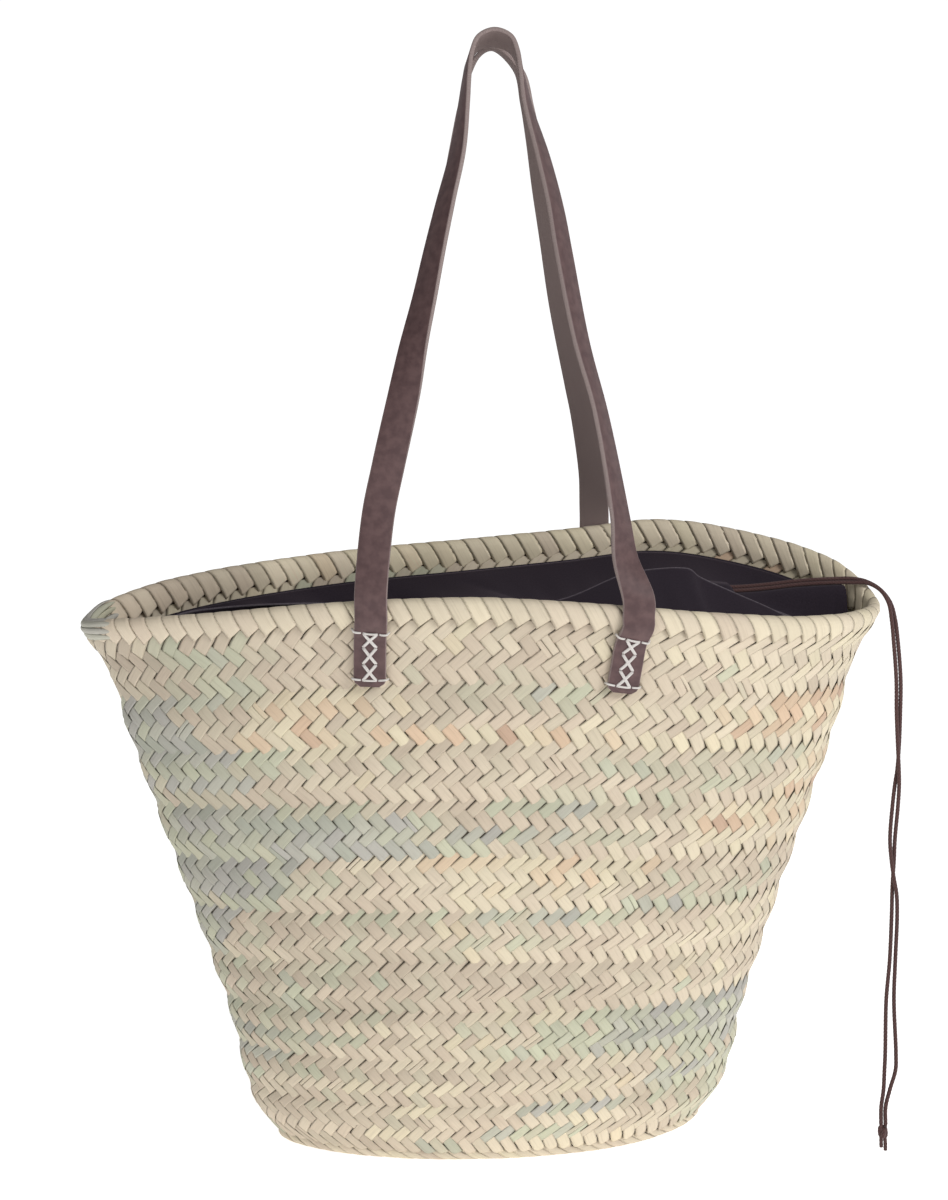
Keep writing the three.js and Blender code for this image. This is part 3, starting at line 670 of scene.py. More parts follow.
def leaf_material():
    """Colour of the leaf by its tint, times streaks along the fibres, times the strip's shade number: its
    own brightness, with painted shade at the bag's left and painted light on the rim's inner side.
    """
    material, tree, shader = new_material("palm leaf", 0.62, 0.35)
    fibres = place_group(tree, FIBRES, uv_of(tree))
    colour = ramp_node(tree, attribute_node(tree, "tint"), LEAF_TINTS)
    streak = ramp_node(tree, fibres.outputs["Streak"], [
        (0.3, (0.72, 0.70, 0.66)), (0.5, (0.97, 0.97, 0.96)), (0.72, (1.0, 1.0, 0.98)),
    ])
    colour = mixed(tree, "MULTIPLY", 0.65, colour, streak)
    shade = tree.nodes.new("ShaderNodeCombineColor")
    for socket in shade.inputs:
        tree.links.new(attribute_node(tree, "shade"), socket)
    colour = mixed(tree, "MULTIPLY", 1.0, colour, shade.outputs[0])
    tree.links.new(colour, shader.inputs["Base Color"])
    tree.links.new(bump_node(tree, fibres.outputs["Height"], 0.35, 0.0004), shader.inputs["Normal"])
    return material


def painted_shade_under_material():
    """Painted shade: a dark brown for what shows in the slits between strips, where the leaf lies in shade.
    """
    material, tree, shader = new_material("painted shade under the braid", 0.85, 0.2)
    place = tree.nodes.new("ShaderNodeTexCoord").outputs["Object"]
    fibres = place_group(tree, FIBRES, stretched(tree, place, (1000, 1000, 1000)))
    colour = ramp_node(tree, fibres.outputs["Streak"], [
        (0.3, (0.10, 0.082, 0.058)), (0.7, (0.20, 0.165, 0.12)),
    ])
    tree.links.new(colour, shader.inputs["Base Color"])
    return material


LEAF, PAINTED_SHADE_UNDER = leaf_material(), painted_shade_under_material()
print("leaf finishes made")

# %% [markdown]
# ## One strip of the braid
#
# On the real bag a leaf runs slantwise over two others and then under two, so each shows as a short
# rectangle. The rectangles of one row lean one way and those of the next row the other way, and each
# one's ends go under the long sides of its neighbours. Weaving whole leaves would cost millions of
# faces, so each visible rectangle is a strip of its own that dips under at its ends.


# %% Strips on a surface
SLANT_UP, SLANT_DOWN = math.radians(41), math.radians(52)
STRIP_STATIONS = np.array([-1.3, -1.0, -0.5, 0.5, 1.0, 1.3])
TOP_ROW_STATIONS = np.array([-1.3, -1.0, -0.5, 0.5, 1.0, 1.9])
STRIP_ACROSS = np.array([-0.5, -0.33, 0.33, 0.5, 0.36, -0.36])
STRIP_UNDERSIDE = np.array([0, 0, 0, 0, 1, 1])


def row_of_strips(count, rising, pitch, row_height, first):
    """Places of the strips in one row, as (along the row, up the row) in strip pitches and row
    heights: a middle, a half length and a width, each a pair of numbers."""
    own, other = (SLANT_UP, SLANT_DOWN) if rising else (SLANT_DOWN, SLANT_UP)
    both = math.sin(own + other)
    lean = row_height / pitch / math.tan(own)
    tooth = pitch / row_height * math.sin(own) * math.sin(other) / both
    across = math.sin(own) * math.cos(other) / both
    sign = 1 if rising else -1
    middles = first + np.arange(count, dtype=float)
    return middles, (sign * lean / 2, 0.5), (across, -sign * tooth)


def next_row(first, rising, pitch, row_height):
    """Start of the row above, so that its teeth fall between this row's teeth."""
    up = row_height / pitch / math.tan(SLANT_UP) / 2
    down = row_height / pitch / math.tan(SLANT_DOWN) / 2
    return first + (up - down) + 0.5


def laid_strips(middles, half_length, width, place, lift, stations=STRIP_STATIONS, seed=0):
    """Rings of strips. place(p, q, inset) is a point of the surface at p pitches along the row and q
    rows up; lift is how far a strip arches over it. Across its width a strip is cambered by a
    parabola, and its ends dip by a square beyond the place where they go under."""
    local = np.random.default_rng(seed)
    count = len(middles)
    split = local.random(count) < 0.035
    low = np.full(count, -0.5) + local.uniform(-0.01, 0.045, count)
    high = np.full(count, 0.5) - local.uniform(-0.01, 0.045, count)
    cut = local.uniform(-0.22, 0.22, count)
    middle_all = np.concatenate([middles, middles[split]])
    low_all = np.concatenate([low, cut[split] + 0.008])
    high_all = np.concatenate([np.where(split, cut - 0.008, high), high[split]])
    total = len(middle_all)
    tilt = local.normal(0, 0.018, total)
    raise_by = local.normal(0, 0.1, total)
    reach = 1 + local.normal(0, 0.03, total)
    stations, across = stations[None, :, None], STRIP_ACROSS[None, None, :]
    wide = lerp(low_all[:, None, None], high_all[:, None, None], across + 0.5)
    long = stations * reach[:, None, None]
    p = middle_all[:, None, None] + half_length[0] * long + width[0] * wide + tilt[:, None, None] * long
    q = 0.5 + half_length[1] * long + width[1] * wide
    past = np.clip(np.abs(stations) - 1, 0, 0.3)
    arch = 1 - 0.75 * np.minimum(np.abs(stations), 1) ** 2 - 2.6 * past
    camber = 0.26 * (1 - (2 * across) ** 2) - 0.12
    height = lift * arch + camber + raise_by[:, None, None] - 0.45 * STRIP_UNDERSIDE
    rings = place(p, q, -height)
    drift = local.uniform(0, 400, total)[:, None, None]
    uv = paired(wide * 9 + drift, long * 7 + drift * 1.7)
    return rings, uv, middle_all


def tints_along(count, seed, spread, shortest, longest):
    """Runs of leaf: steps of a random size, so that some neighbours have nearly one colour and then it
    changes."""
    local = np.random.default_rng(seed)
    starts = np.cumsum(local.integers(shortest, longest, count))
    run = np.searchsorted(starts, np.arange(count))
    return local.normal(0, spread, run.max() + 1)[run], 1 + local.normal(0, 0.045, run.max() + 1)[run]


print("slants of the two kinds of row:", round(math.degrees(SLANT_UP)), round(math.degrees(SLANT_DOWN)))

# %% [markdown]
# ## The wall
#
# Ten turns of braid, four rows of strips each. Each turn is one piece: the eye reads a turn as a
# bulging band, with its top row catching the light and its lowest row curling into the seam.

# %% Ten turns of braid
ROWS = 4
PITCHES_AT_FOOT, PITCHES_AT_MOUTH = 74, 98
STRIP_LIFT = 0.55
FIRST_ROW_DROP = 3.9

# Places where leaf of one kind was braided in: x, z, half width, half height, change of tint.
COLOUR_PATCHES = np.array([
    (-150, 228, 95, 13, -0.26), (-140, 190, 95, 18, -0.28), (15, 314, 70, 15, -0.38),
    (70, 174, 90, 14, -0.20), (125, 228, 85, 13, 0.22), (95, 335, 70, 12, 0.12),
    (75, 22, 55, 12, 0.24), (-200, 330, 50, 22, -0.22), (-20, 125, 110, 16, -0.12),
    (-60, 250, 60, 10, 0.10), (170, 300, 60, 25, 0.06), (-150, 80, 60, 20, -0.16),
    (-190, 262, 60, 16, -0.20), (150, 268, 90, 12, -0.10),
])


def tint_at(x, y, z):
    """Greyer leaf at the lower left, creamier at the upper right, and the patches on the front."""
    tint = 0.51 + 0.12 * np.clip(x / 230, -1, 1) + 0.075 * np.clip((z - 190) / 150, -1, 0.8)
    for px, pz, half_width, half_height, change in COLOUR_PATCHES:
        near = np.abs((x - px) / half_width) ** 2.4 + np.abs((z - pz) / half_height) ** 2.4
        tint = tint + np.where(y < 0, change, 0.5 * change) * np.exp(-near)
    return tint


def braid_measures(turn):
    """Pitches round one turn, the length of a pitch, the height of a row and the turn's middle ring."""
    count = round(lerp(PITCHES_AT_FOOT, PITCHES_AT_MOUTH, turn / (BRAID_TURNS - 1)))

    def ring(angle):
        return wall_point(angle, turn_rise(turn + 0.5), 0)

    low, high = (wall_point(1.5 * np.pi, turn_rise(turn + k), 0) for k in (0, 1))
    return count, even_angles(ring, np.array([0.0]))[1] / count, np.linalg.norm(high - low) / ROWS, ring


def strip_depth(at):
    """Depth of the strips under the wall's outside: the bulge of each turn, made shallow where the
    first turn meets the lip of the foot and where the last one meets the rim."""
    from_end = np.clip(np.minimum(at, BRAID_TURNS - at) / 0.5, 0, 1)
    return braid_inset(at) * lerp(0.12, 1, from_end) + 1.0


def turn_of_braid(turn, inside_first=None):
    """One turn of the wall: rows of strips whose middle line lies on the wall's surface. With
    inside_first they lie on its inner face and start there. The lowest turn reaches down to the lip
    of the foot, by the square of the way under its first seam."""
    count, pitch, row_height, ring = braid_measures(turn)
    inside = inside_first is not None
    first = inside_first if inside else 0.13 * turn
    parts, maps, tints, shades = [], [], [], []
    shared, _ = tints_along(count, 900 + turn, 0.11, 9, 30)
    for row in range(ROWS):
        rising = row % 2 == (0 if inside else 1)
        middles, half_length, width = row_of_strips(count, rising, pitch, row_height, first)

        def place(p, q, inset, row=row):
            at = turn + (row + q) / ROWS
            angle, _ = even_angles(ring, p / count)
            depth = strip_depth(at) + 0.5 * np.clip((at - turn - 0.94) / 0.12, 0, 1)
            depth = depth - 0.3 * np.clip((turn + 0.06 - at) / 0.12, 0, 1)
            if inside:
                return wall_point(angle, turn_rise(at), depth + 1.6 - inset)
            point = wall_point(angle, turn_rise(np.maximum(at, 0)), depth + inset)
            if turn == 0:
                point[..., 2] -= FIRST_ROW_DROP * np.clip(1 - at, 0, 1.2) ** 2
            return point

        rings, uv, at = laid_strips(
            middles, half_length, width, place, STRIP_LIFT,
            TOP_ROW_STATIONS if row == ROWS - 1 else STRIP_STATIONS, seed=1000 + 10 * turn + row,
        )
        shift = (row // 2) * (1 if rising else -3)
        spot = rings.mean((1, 2))
        run, run_shade = tints_along(count, 50 + 4 * turn + (1 if rising else 0), 0.085, 4, 16)
        number = np.round(at - first).astype(int)
        jitter = np.random.default_rng(300 + turn * 5 + row)
        tint = tint_at(*spot.T) + shared[number % count] + run[(number - shift) % count]
        tint = np.clip(tint + jitter.normal(0, 0.065, len(at)), 0.02, 0.98)
        shade = np.clip(run_shade[(number - shift) % count] + jitter.normal(0, 0.035, len(at)), 0.78, 1.08)
        # Painted shade: strips left of x = -120 mm are made up to 13 % darker, as if the light fell from
        # the right.
        shade = shade * (1 - 0.13 * np.clip((-120 - spot[:, 0]) / 110, 0, 1))
        parts.append(rings)
        maps.append(uv)
        tints.append(np.broadcast_to(tint[:, None, None], rings.shape[:3]))
        shades.append(np.broadcast_to(shade[:, None, None], rings.shape[:3]))
        first = next_row(first, rising, pitch, row_height)
    return [np.concatenate(part) for part in (parts, maps, tints, shades)] + [first]


for turn in range(BRAID_TURNS):
    rings, uv, tint, shade, rim_first = turn_of_braid(turn)
    swept(
        f"braid_turn_{turn + 1:02d}", rings, LEAF, "straw", "straw_wall", uv=uv, tint=tint, shade=shade
    )


def shell(rows_of_points):
    """Closed skin of rings that run round the bag: outside from foot to mouth, then back inside."""
    return np.stack(rows_of_points, 0)[None]


ROUND_POINTS = 192
round_angles = np.linspace(0, 2 * np.pi, ROUND_POINTS + 1)[:-1]
heights = np.linspace(0, BRAID_TURNS, 8 * BRAID_TURNS + 1)
outer = [wall_point(round_angles, turn_rise(t), strip_depth(t) + 0.85) for t in heights]
inner = [wall_point(round_angles, turn_rise(t), strip_depth(t) + 1.35) for t in heights[::-1]]
# Painted shade: a dark closed shell just under the strips, seen through the slits between them.
swept("wall_under_braid", shell(outer + inner), PAINTED_SHADE_UNDER, "straw", "straw_wall", closed=True)

# %% [markdown]
# ## The rolled rim
#
# The mouth is bound with broad leaves that go over the edge side by side, slanting. Each is one wide
# strip bent over an oval core, and its rounded lower end tucks in behind the first row.

# %% Rim
# Place over the edge from the inside (-1) to the outside (1), outwards and up from the top's middle.
RIM_SECTION = np.array([
    (-1, -2.2, -21.5), (-0.77, -3.1, -15.5), (-0.55, -4.2, -10.5), (-0.32, -4.2, -5.2),
    (-0.15, -3.0, -1.8), (0, 0, -0.4), (0.15, 3.0, -1.8), (0.32, 4.2, -5.2), (0.55, 3.9, -10.5),
    (0.77, 2.5, -15.5), (1, 1.3, -21.5),
])
RIM_LENGTH, RIM_CORE_DEPTH = 24, 0.75
WRAP_END, WRAP_INNER_END, WRAP_SLANT = 0.71, 0.81, 1.05
WRAP_STATIONS = np.array([
    -1.05, -1, -0.9, -0.72, -0.5, -0.3, -0.12, 0.05, 0.2, 0.34, 0.5, 0.68, 0.84, 0.95, 1, 1.06,
])
WRAP_ACROSS = np.array([-0.5, -0.3, 0, 0.3, 0.5, 0.36, 0, -0.36])
WRAP_UNDERSIDE = np.array([0, 0, 0, 0, 0, 1, 1, 1])
rim_count, rim_pitch, rim_row_height, rim_ring = braid_measures(BRAID_TURNS - 1)


def wall_lean(angle):
    """How far the wall goes outwards for each millimetre of height just under the rim."""
    step = wall_point(angle, 1 + 0 * angle, 0) - wall_point(angle, 0.93 + 0 * angle, 0)
    return (step * rim_outward(angle)).sum(-1) / step[..., 2]


def rim_surface(share, over, height):
    """Point on the rim: share of the way round the mouth, place over the edge, height above it. The
    height is measured square to the rim's section, which leans with the wall under the roll."""
    angle, _ = even_angles(rim_ring, share)
    out, up = (read(RIM_SECTION, k, over) for k in (1, 2))
    out_step, up_step = (
        read(RIM_SECTION, k, np.minimum(over + 0.02, 1)) - read(RIM_SECTION, k, np.maximum(over - 0.02, -1))
        for k in (1, 2)
    )
    size = np.hypot(out_step, up_step)
    out = out + np.minimum(up + 6, 0) * np.maximum(wall_lean(angle) - 0.1, 0)
    point = rim_centre(angle) + rim_outward(angle) * (out - up_step / size * height)[..., None]
    point[..., 2] += RIM_ROLL_HEIGHT / 2 + up + out_step / size * height
    return point


def rim_wraps():
    """The rim's row of broad leaves. Their lower ends are cut slantwise, so that they fit between the
    teeth of the braid's top row."""
    local = np.random.default_rng(21)
    middles, half_length, _ = row_of_strips(rim_count, False, rim_pitch, rim_row_height, rim_first)
    offset = -half_length[0] - WRAP_SLANT * WRAP_END
    tooth = 0.52 * rim_pitch
    stations = WRAP_STATIONS[None, :, None]
    wide = (WRAP_ACROSS * local.uniform(0.985, 1.01, (rim_count, 1)))[:, None, :]
    reach = np.where(stations > 0, WRAP_END, WRAP_INNER_END)
    over = reach * stations - tooth / RIM_LENGTH * wide * stations**2
    place = middles[:, None, None] + offset + WRAP_SLANT * over + wide * 1.06
    place = place + local.normal(0, 0.02, (rim_count, 1, 1)) * stations
    past = np.maximum(np.abs(stations) - 0.92, 0)
    camber = 0.34 * (1 - np.abs(2 * WRAP_ACROSS) ** 2.4)[None, None, :] + 0.22 * WRAP_ACROSS
    height = camber - 3.5 * past - 0.55 * WRAP_UNDERSIDE + local.normal(0, 0.08, (rim_count, 1, 1))
    rings = rim_surface(place / rim_count, np.clip(over, -1, 1), height)
    drift = local.uniform(0, 300, (rim_count, 1, 1))
    uv = paired(wide * 12 + drift, over * 20 + drift)
    run, run_shade = tints_along(rim_count, 77, 0.05, 4, 14)
    spot = rings.mean((1, 2))
    tint = 0.58 + 0.14 * np.clip((spot[:, 0] + 180) / 120, -1, 0.6) + run
    tint = np.clip(tint + local.normal(0, 0.05, rim_count), 0.05, 0.95)[:, None, None]
    shade = (run_shade + local.normal(0, 0.03, rim_count))[:, None, None]
    # Painted light: the wraps' inner half, from the middle of the edge into the mouth, is made up to 30 %
    # brighter.
    shade = shade * (1 + 0.3 * np.clip(-2 * over, 0, 1))
    inside_first = middles[0] + offset - WRAP_SLANT * WRAP_INNER_END + 0.5 - half_length[0]
    return rings, uv, *(np.broadcast_to(v, rings.shape[:3]) for v in (tint, shade)), inside_first


def tip_pleats():
    """Leaves pinched together at the left end: they run along the rim there, lying in small pleats
    over its edge, and get narrower and sink in at both ends. Each is 1 - (2w)^2 high across."""
    local = np.random.default_rng(41)
    pleats, t = 7, np.linspace(-1, 1, 19)[None, :, None]
    lane = (np.linspace(-0.52, 0.62, pleats) + local.normal(0, 0.01, pleats))[:, None, None]
    reach = 0.026 + local.normal(0, 0.0022, (pleats, 1, 1))
    share = 0.502 + reach * t + 0.0035 * lane
    width = 0.2 * (1 - 0.45 * np.abs(t) ** 3)
    over = lane * (0.9 + 0.12 * t**2) + WRAP_ACROSS[None, None, :] * width
    height = 0.55 + 0.75 * (1 - (2 * WRAP_ACROSS) ** 2) - 1.6 * t**6 - 0.5 * WRAP_UNDERSIDE
    height = height + 0.12 * np.sin(9 * t + 7 * lane)
    rings = rim_surface(share + 0 * over, over, height + 0 * over)
    uv = paired(WRAP_ACROSS[None, None, :] * 5 + 40 * lane, 30 * t + 90 * lane)
    tint = np.clip(0.2 + local.normal(0, 0.08, (pleats, 1, 1)), 0.05, 0.5)
    shade = np.clip(1.0 + local.normal(0, 0.06, (pleats, 1, 1)), 0.8, 1.05)
    return rings, uv, *(np.broadcast_to(v, rings.shape[:3]) for v in (tint, shade))


rings, uv, tint, shade = tip_pleats()
swept("rim_tip_pleats", rings, LEAF, "straw", "straw_rim", uv=uv, tint=tint, shade=shade)
rings, uv, tint, shade, inside_first = rim_wraps()
swept("rim_wraps", rings, LEAF, "straw", "straw_rim", uv=uv, tint=tint, shade=shade)
# Painted shade: the rim's core has the same dark brown, seen between the wraps.
core_shares = np.linspace(0, 1, ROUND_POINTS + 1)[:-1]
core = np.stack([
    rim_surface(core_shares, np.full(ROUND_POINTS, over), np.full(ROUND_POINTS, -RIM_CORE_DEPTH))
    for over in np.linspace(-0.8, 0.58, 13)
])[None]
swept("rim_core", core, PAINTED_SHADE_UNDER, "straw", "straw_rim", closed=True)

# %% [markdown]
# ## Inside the mouth
#
# Above the lining the inner face of the last turn shows, so that turn is made once more on the inside.

# %% The rows inside the mouth
step = next_row(0, True, rim_pitch, rim_row_height)
rings, uv, tint, shade, _ = turn_of_braid(BRAID_TURNS - 1, inside_first=inside_first - 3 * step)
swept("braid_inside_mouth", rings, LEAF, "straw", "straw_wall", uv=uv, tint=tint, shade=shade)

# %% [markdown]
# ## The foot
#
# The same braid lies flat and coiled under the bag, and its last turn stands up as a smooth lip
# wrapped with slanting leaves.

# %% Foot
LIP_WRAPS = 62


def lip_surface(share, bend, height):
    """Point on the lip: bend 0 is its top, 90 degrees its outermost place, 180 its underside."""
    def ring(angle):
        x, y = oval(angle, FOOT_WIDTH / 2, FOOT_DEPTH / 2, 0)
        return np.stack([x, y, 0 * x], -1)

    angle, _ = even_angles(ring, share)
    half = FOOT_LIP_WIDTH / 2
    inset = half - (half - 1.9 + height) * np.sin(bend)
    x, y = oval(angle, FOOT_WIDTH / 2 - inset, FOOT_DEPTH / 2 - inset, 0)
    z = FOOT_LIP_HEIGHT / 2 + (FOOT_LIP_HEIGHT / 2 - 0.8 + height) * np.cos(bend) + foot_lift(angle)
    return np.stack([x, y, np.maximum(z, foot_lift(angle) + 0.05)], -1)


def lip_wraps():
    """Leaves wound round the lip, each 0.55 of its width further on for every radian over the lip."""
    local = np.random.default_rng(31)
    number = np.arange(LIP_WRAPS, dtype=float)
    bends = np.radians(np.linspace(-40, 215, 13))
    bend = bends[None, :, None]
    wide = (WRAP_ACROSS * local.uniform(0.96, 1.03, (LIP_WRAPS, 1)))[:, None, :]
    place = number[:, None, None] + 0.55 * bend + wide * 1.02
    camber = 0.3 * (1 - np.abs(2 * WRAP_ACROSS) ** 2.4)[None, None, :]
    height = camber - 0.5 * WRAP_UNDERSIDE + local.normal(0, 0.08, (LIP_WRAPS, 1, 1)) + 0 * place
    rings = lip_surface(place / LIP_WRAPS, bend + 0 * place, height)
    drift = local.uniform(0, 300, (LIP_WRAPS, 1, 1))
    uv = paired(wide * 11 + drift, bend * 6 + drift)
    tint = np.clip(0.6 + local.normal(0, 0.09, LIP_WRAPS), 0, 1)[:, None, None]
    shade = (1 + local.normal(0, 0.03, LIP_WRAPS))[:, None, None]
    return rings, uv, np.broadcast_to(tint, rings.shape[:3]), np.broadcast_to(shade, rings.shape[:3])


rings, uv, tint, shade = lip_wraps()
swept("foot_lip_wraps", rings, LEAF, "straw", "straw_base", uv=uv, tint=tint, shade=shade)
# Painted shade: the lip's core has the same dark brown, seen between its wraps.
lip_core = np.stack([
    lip_surface(core_shares, np.full(ROUND_POINTS, bend), np.full(ROUND_POINTS, -0.5))
    for bend in np.linspace(0, 2 * np.pi, 13)[:-1]
])[None]
swept("foot_lip_core", lip_core, PAINTED_SHADE_UNDER, "straw", "straw_base", closed=True)


def foot_surface(angle, share, height):
    """Underside of the foot from its middle (0) to the lip (1), lifted with the lip's right end."""
    x, y = oval(angle, FOOT_WIDTH / 2 - FOOT_LIP_WIDTH / 2, FOOT_DEPTH / 2 - FOOT_LIP_WIDTH / 2, 0)
    lift = foot_lift(angle) * np.clip((share - 0.42) / 0.58, 0, 1)
    return np.stack([x * share, y * share, lift + height + 0 * x], -1)


def foot_coils():
    """Three coils of braid on the underside, each with three rows of strips."""
    parts, maps, tints, shades = [], [], [], []
    for coil, share in enumerate((0.90, 0.62, 0.34)):
        count = round(70 * share)
        pitch, row_height = 710 * share / count, 4.6
        first = 0.0
        for row in range(3):
            middles, half_length, width = row_of_strips(count, row % 2 == 1, pitch, row_height, first)

            def place(p, q, inset, row=row, share=share):
                angle, _ = even_angles(lambda t: foot_surface(t, 1.0, 0), p / count)
                return foot_surface(angle, share - 0.26 + (row + q) * 0.095, 1.5 + inset)

            rings, uv, _ = laid_strips(
                middles, half_length, width, place, 0.3, seed=600 + 10 * coil + row
            )
            parts.append(rings)
            maps.append(uv)
            jitter = np.random.default_rng(700 + 10 * coil + row)
            for store, middle, spread in ((tints, 0.55, 0.12), (shades, 0.97, 0.05)):
                values = jitter.normal(middle, spread, len(rings))[:, None, None]
                store.append(np.broadcast_to(values, rings.shape[:3]))
            first = next_row(first, row % 2 == 1, pitch, row_height)
    return [np.concatenate(part) for part in (parts, maps, tints, shades)]


rings, uv, tint, shade = foot_coils()
swept("foot_coils", rings, LEAF, "straw", "straw_base", uv=uv, tint=tint, shade=shade)
# Painted shade: the plate under the coils has the same dark brown, seen between the strips.
plate_low = [foot_surface(round_angles, share, 1.9) for share in (0.02, 0.3, 0.6, 0.98)]
plate_high = [foot_surface(round_angles, share, 3.9) for share in (0.98, 0.6, 0.3, 0.02)]
swept("foot_plate", shell(plate_low + plate_high), PAINTED_SHADE_UNDER, "straw", "straw_base")

# %% [markdown]
# ## Cotton
#
# The lining is a plain cotton, so dark that only its folds catch light. A little sheen gives it the
# dusty edge of real cloth. Hems and cut edges show paler threads.


# %% Cotton materials
def cotton_material(name, dark, light, sheen):
    """Cloth between two colours by the fleck of its threads, with the weave as fine relief."""
    material, tree, shader = new_material(name, 0.88, 0.15, sheen)
    shader.inputs["Sheen Roughness"].default_value = 0.5
    shader.inputs["Sheen Tint"].default_value = (0.75, 0.62, 0.74, 1)
    weave = place_group(tree, WEAVE, uv_of(tree), Threads=1.6)
    colour = ramp_node(tree, weave.outputs["Fleck"], [(0.3, dark), (0.7, light)])
    tree.links.new(colour, shader.inputs["Base Color"])
    tree.links.new(bump_node(tree, weave.outputs["Height"], 0.25, 0.0001), shader.inputs["Normal"])
    return material


COTTON = cotton_material("near-black cotton", (0.017, 0.012, 0.018), (0.032, 0.024, 0.034), 0.13)
HEM = cotton_material("pale cotton edge", (0.06, 0.05, 0.06), (0.17, 0.15, 0.17), 0.15)
print("cotton finishes made")

# %% [markdown]
# ## Lining
#
# The lining hangs against the wall, sewn on 20 mm under the rim. Like the collar, it is a sheet with
# two sides, made from a smooth middle surface with creases added to it.

# %% Lining
LINING_CLOTH, COLLAR_CLOTH = 0.9, 1.1
COLLAR_INSET, HEM_RADIUS = 7.6, 0.68
# Angle round the mouth, and the place x, y, z of the collar's hem there.
HEM_LINE = np.array([
    (0, 225, -1, 332), (8, 219, -2, 333), (17, 207, -3, 338), (28, 180, -4, 350),
    (40, 150, -6, 358), (54, 112, -6, 358), (70, 66, 5, 354), (90, 10, 22, 351),
    (125, -120, 26, 354), (155, -184, 16, 353), (180, -204, 7, 349), (212, -176, -3, 347),
    (245, -89, -13, 348), (263, -10, -19, 352), (274, 44, -21, 362), (283, 79, -17, 375),
    (291, 100, -15, 379), (301, 125, -15, 379.5), (308, 134, -14, 373.4), (318, 156, -13, 363),
    (328, 178, -11, 353), (338, 197, -8, 343), (350, 216, -4, 335),
])


def rise_under_rim(angle, drop):
    """Share of the wall's rise at a drop under the rim's top. At the right end, where the mouth is
    pointed, the cloth is sewn up to 7 mm lower."""
    turned = np.degrees((angle + np.pi) % (2 * np.pi) - np.pi)
    drop = drop + 7 * np.exp(-((np.abs(turned + 4) / 22) ** 3))
    bottom = wall_bottom(angle)
    return (rim_top(angle) - drop - bottom) / (wall_top(angle) - bottom)


def two_sided(middle, thickness):
    """Rings of a closed sheet from its middle surface, a grid of rows and places round the bag."""
    round_by = np.roll(middle, -1, 1) - np.roll(middle, 1, 1)
    inward = np.gradient(middle, axis=0)
    normal = unit(np.cross(round_by, inward))
    return np.concatenate([middle + normal * thickness / 2, (middle - normal * thickness / 2)[::-1]])


def lining_bag():
    """Middle surface of the lining: the wall moved inwards, with creases 0.9 mm deep that fade out by
    a half sine at the seam and at the bottom, and a flat bottom 6 mm above the floor."""
    drop = np.linspace(1, 0, 41)[:, None]
    angle = round_angles[None, :]
    low = turn_rise(0.35)
    rise = lerp(low, rise_under_rim(angle, LINING_DROP + 1), 1 - drop)
    crease = 0.5 + 0.5 * np.sin(23 * angle + 3 * np.sin(2 * angle) + 2.5 * drop)
    inset = WALL_THICKNESS + BRAID_BULGE + CLEARANCE + 0.5 + 0.9 * crease * np.sin(np.pi * (1 - drop))
    side = wall_point(angle, rise, inset)
    floor = []
    for share in (0.03, 0.35, 0.7, 0.97):
        edge = foot_surface(angle[0], 1.0, 0)
        height = 6 + foot_lift(angle[0]) * share
        floor.append(np.stack([edge[:, 0] * share, edge[:, 1] * share, height], -1))
    return np.concatenate([np.stack(floor), side])


def cloth_uv(middle):
    """Map in millimetres: the run round a row, and the run from the first row."""
    round_run = np.cumsum(np.linalg.norm(np.diff(middle, axis=1, append=middle[:, :1]), axis=2), 1)
    down_run = np.cumsum(np.linalg.norm(np.diff(middle, axis=0, prepend=middle[:1]), axis=2), 0)
    flat = np.stack([round_run.max(0)[None, :] + 0 * down_run, down_run], -1)
    return np.concatenate([flat, flat[::-1]])


def area_of(middle):
    """Area of a sheet that runs round the bag: the sum over its cells of |across x down|."""
    across = np.roll(middle, -1, 1) - middle
    down = np.diff(middle, axis=0)
    return float(np.linalg.norm(np.cross(across[:-1], down), axis=2).sum()) * MM * MM


middle = lining_bag()
lining = swept(
    "lining", two_sided(middle, LINING_CLOTH)[None], COTTON, "cotton", "lining_bag", uv=cloth_uv(middle)
)
print("area of the lining:", round(area_of(middle), 4), "square metres")

# %% [markdown]
# ## Collar
#
# The drawstring collar is folded into the mouth: from its seam it sags inwards, and its free hem
# stands up towards the front right. Three sets of waves with uneven phases give its folds.


# %% Middle surface of the collar
def collar_middle():
    """Straight lines from the seam to the hem, lowered by a half sine between them. The folds follow
    the same half sine, so that seam and hem keep their places."""
    v = np.linspace(0, 1, 49)[:, None]
    angle = np.linspace(0, 2 * np.pi, 361)[None, :-1]
    degrees = np.degrees(angle)
    sewn = wall_point(angle, rise_under_rim(angle, LINING_DROP + COLLAR_DROP - 1), COLLAR_INSET)
    hem = np.stack([read(HEM_LINE, k, degrees, 360) for k in (1, 2, 3)], -1)
    middle = sewn * (1 - v[..., None]) + hem * v[..., None]
    hang = np.sin(np.pi * v)
    middle[..., 2] += hang * (3.2 * np.sin(9 * angle) - 9.5)
    slow = np.sin(13 * angle + 2.5 * np.sin(4 * angle) + 2 * v)
    ridges = 1 - 2 * np.abs(np.sin(9.5 * angle + 3 * np.sin(3 * angle) + 2.5 * v)) ** 0.7
    fine = np.sin(41 * angle + 5 * np.sin(5 * angle) + 7 * v)
    middle[..., 2] += hang * (1.3 * slow - 2.0 * ridges + 0.45 * fine * np.sin(np.pi * v))
    middle[..., 1] += 1.2 * hang * np.sin(17 * angle + 3 * v)
    return middle


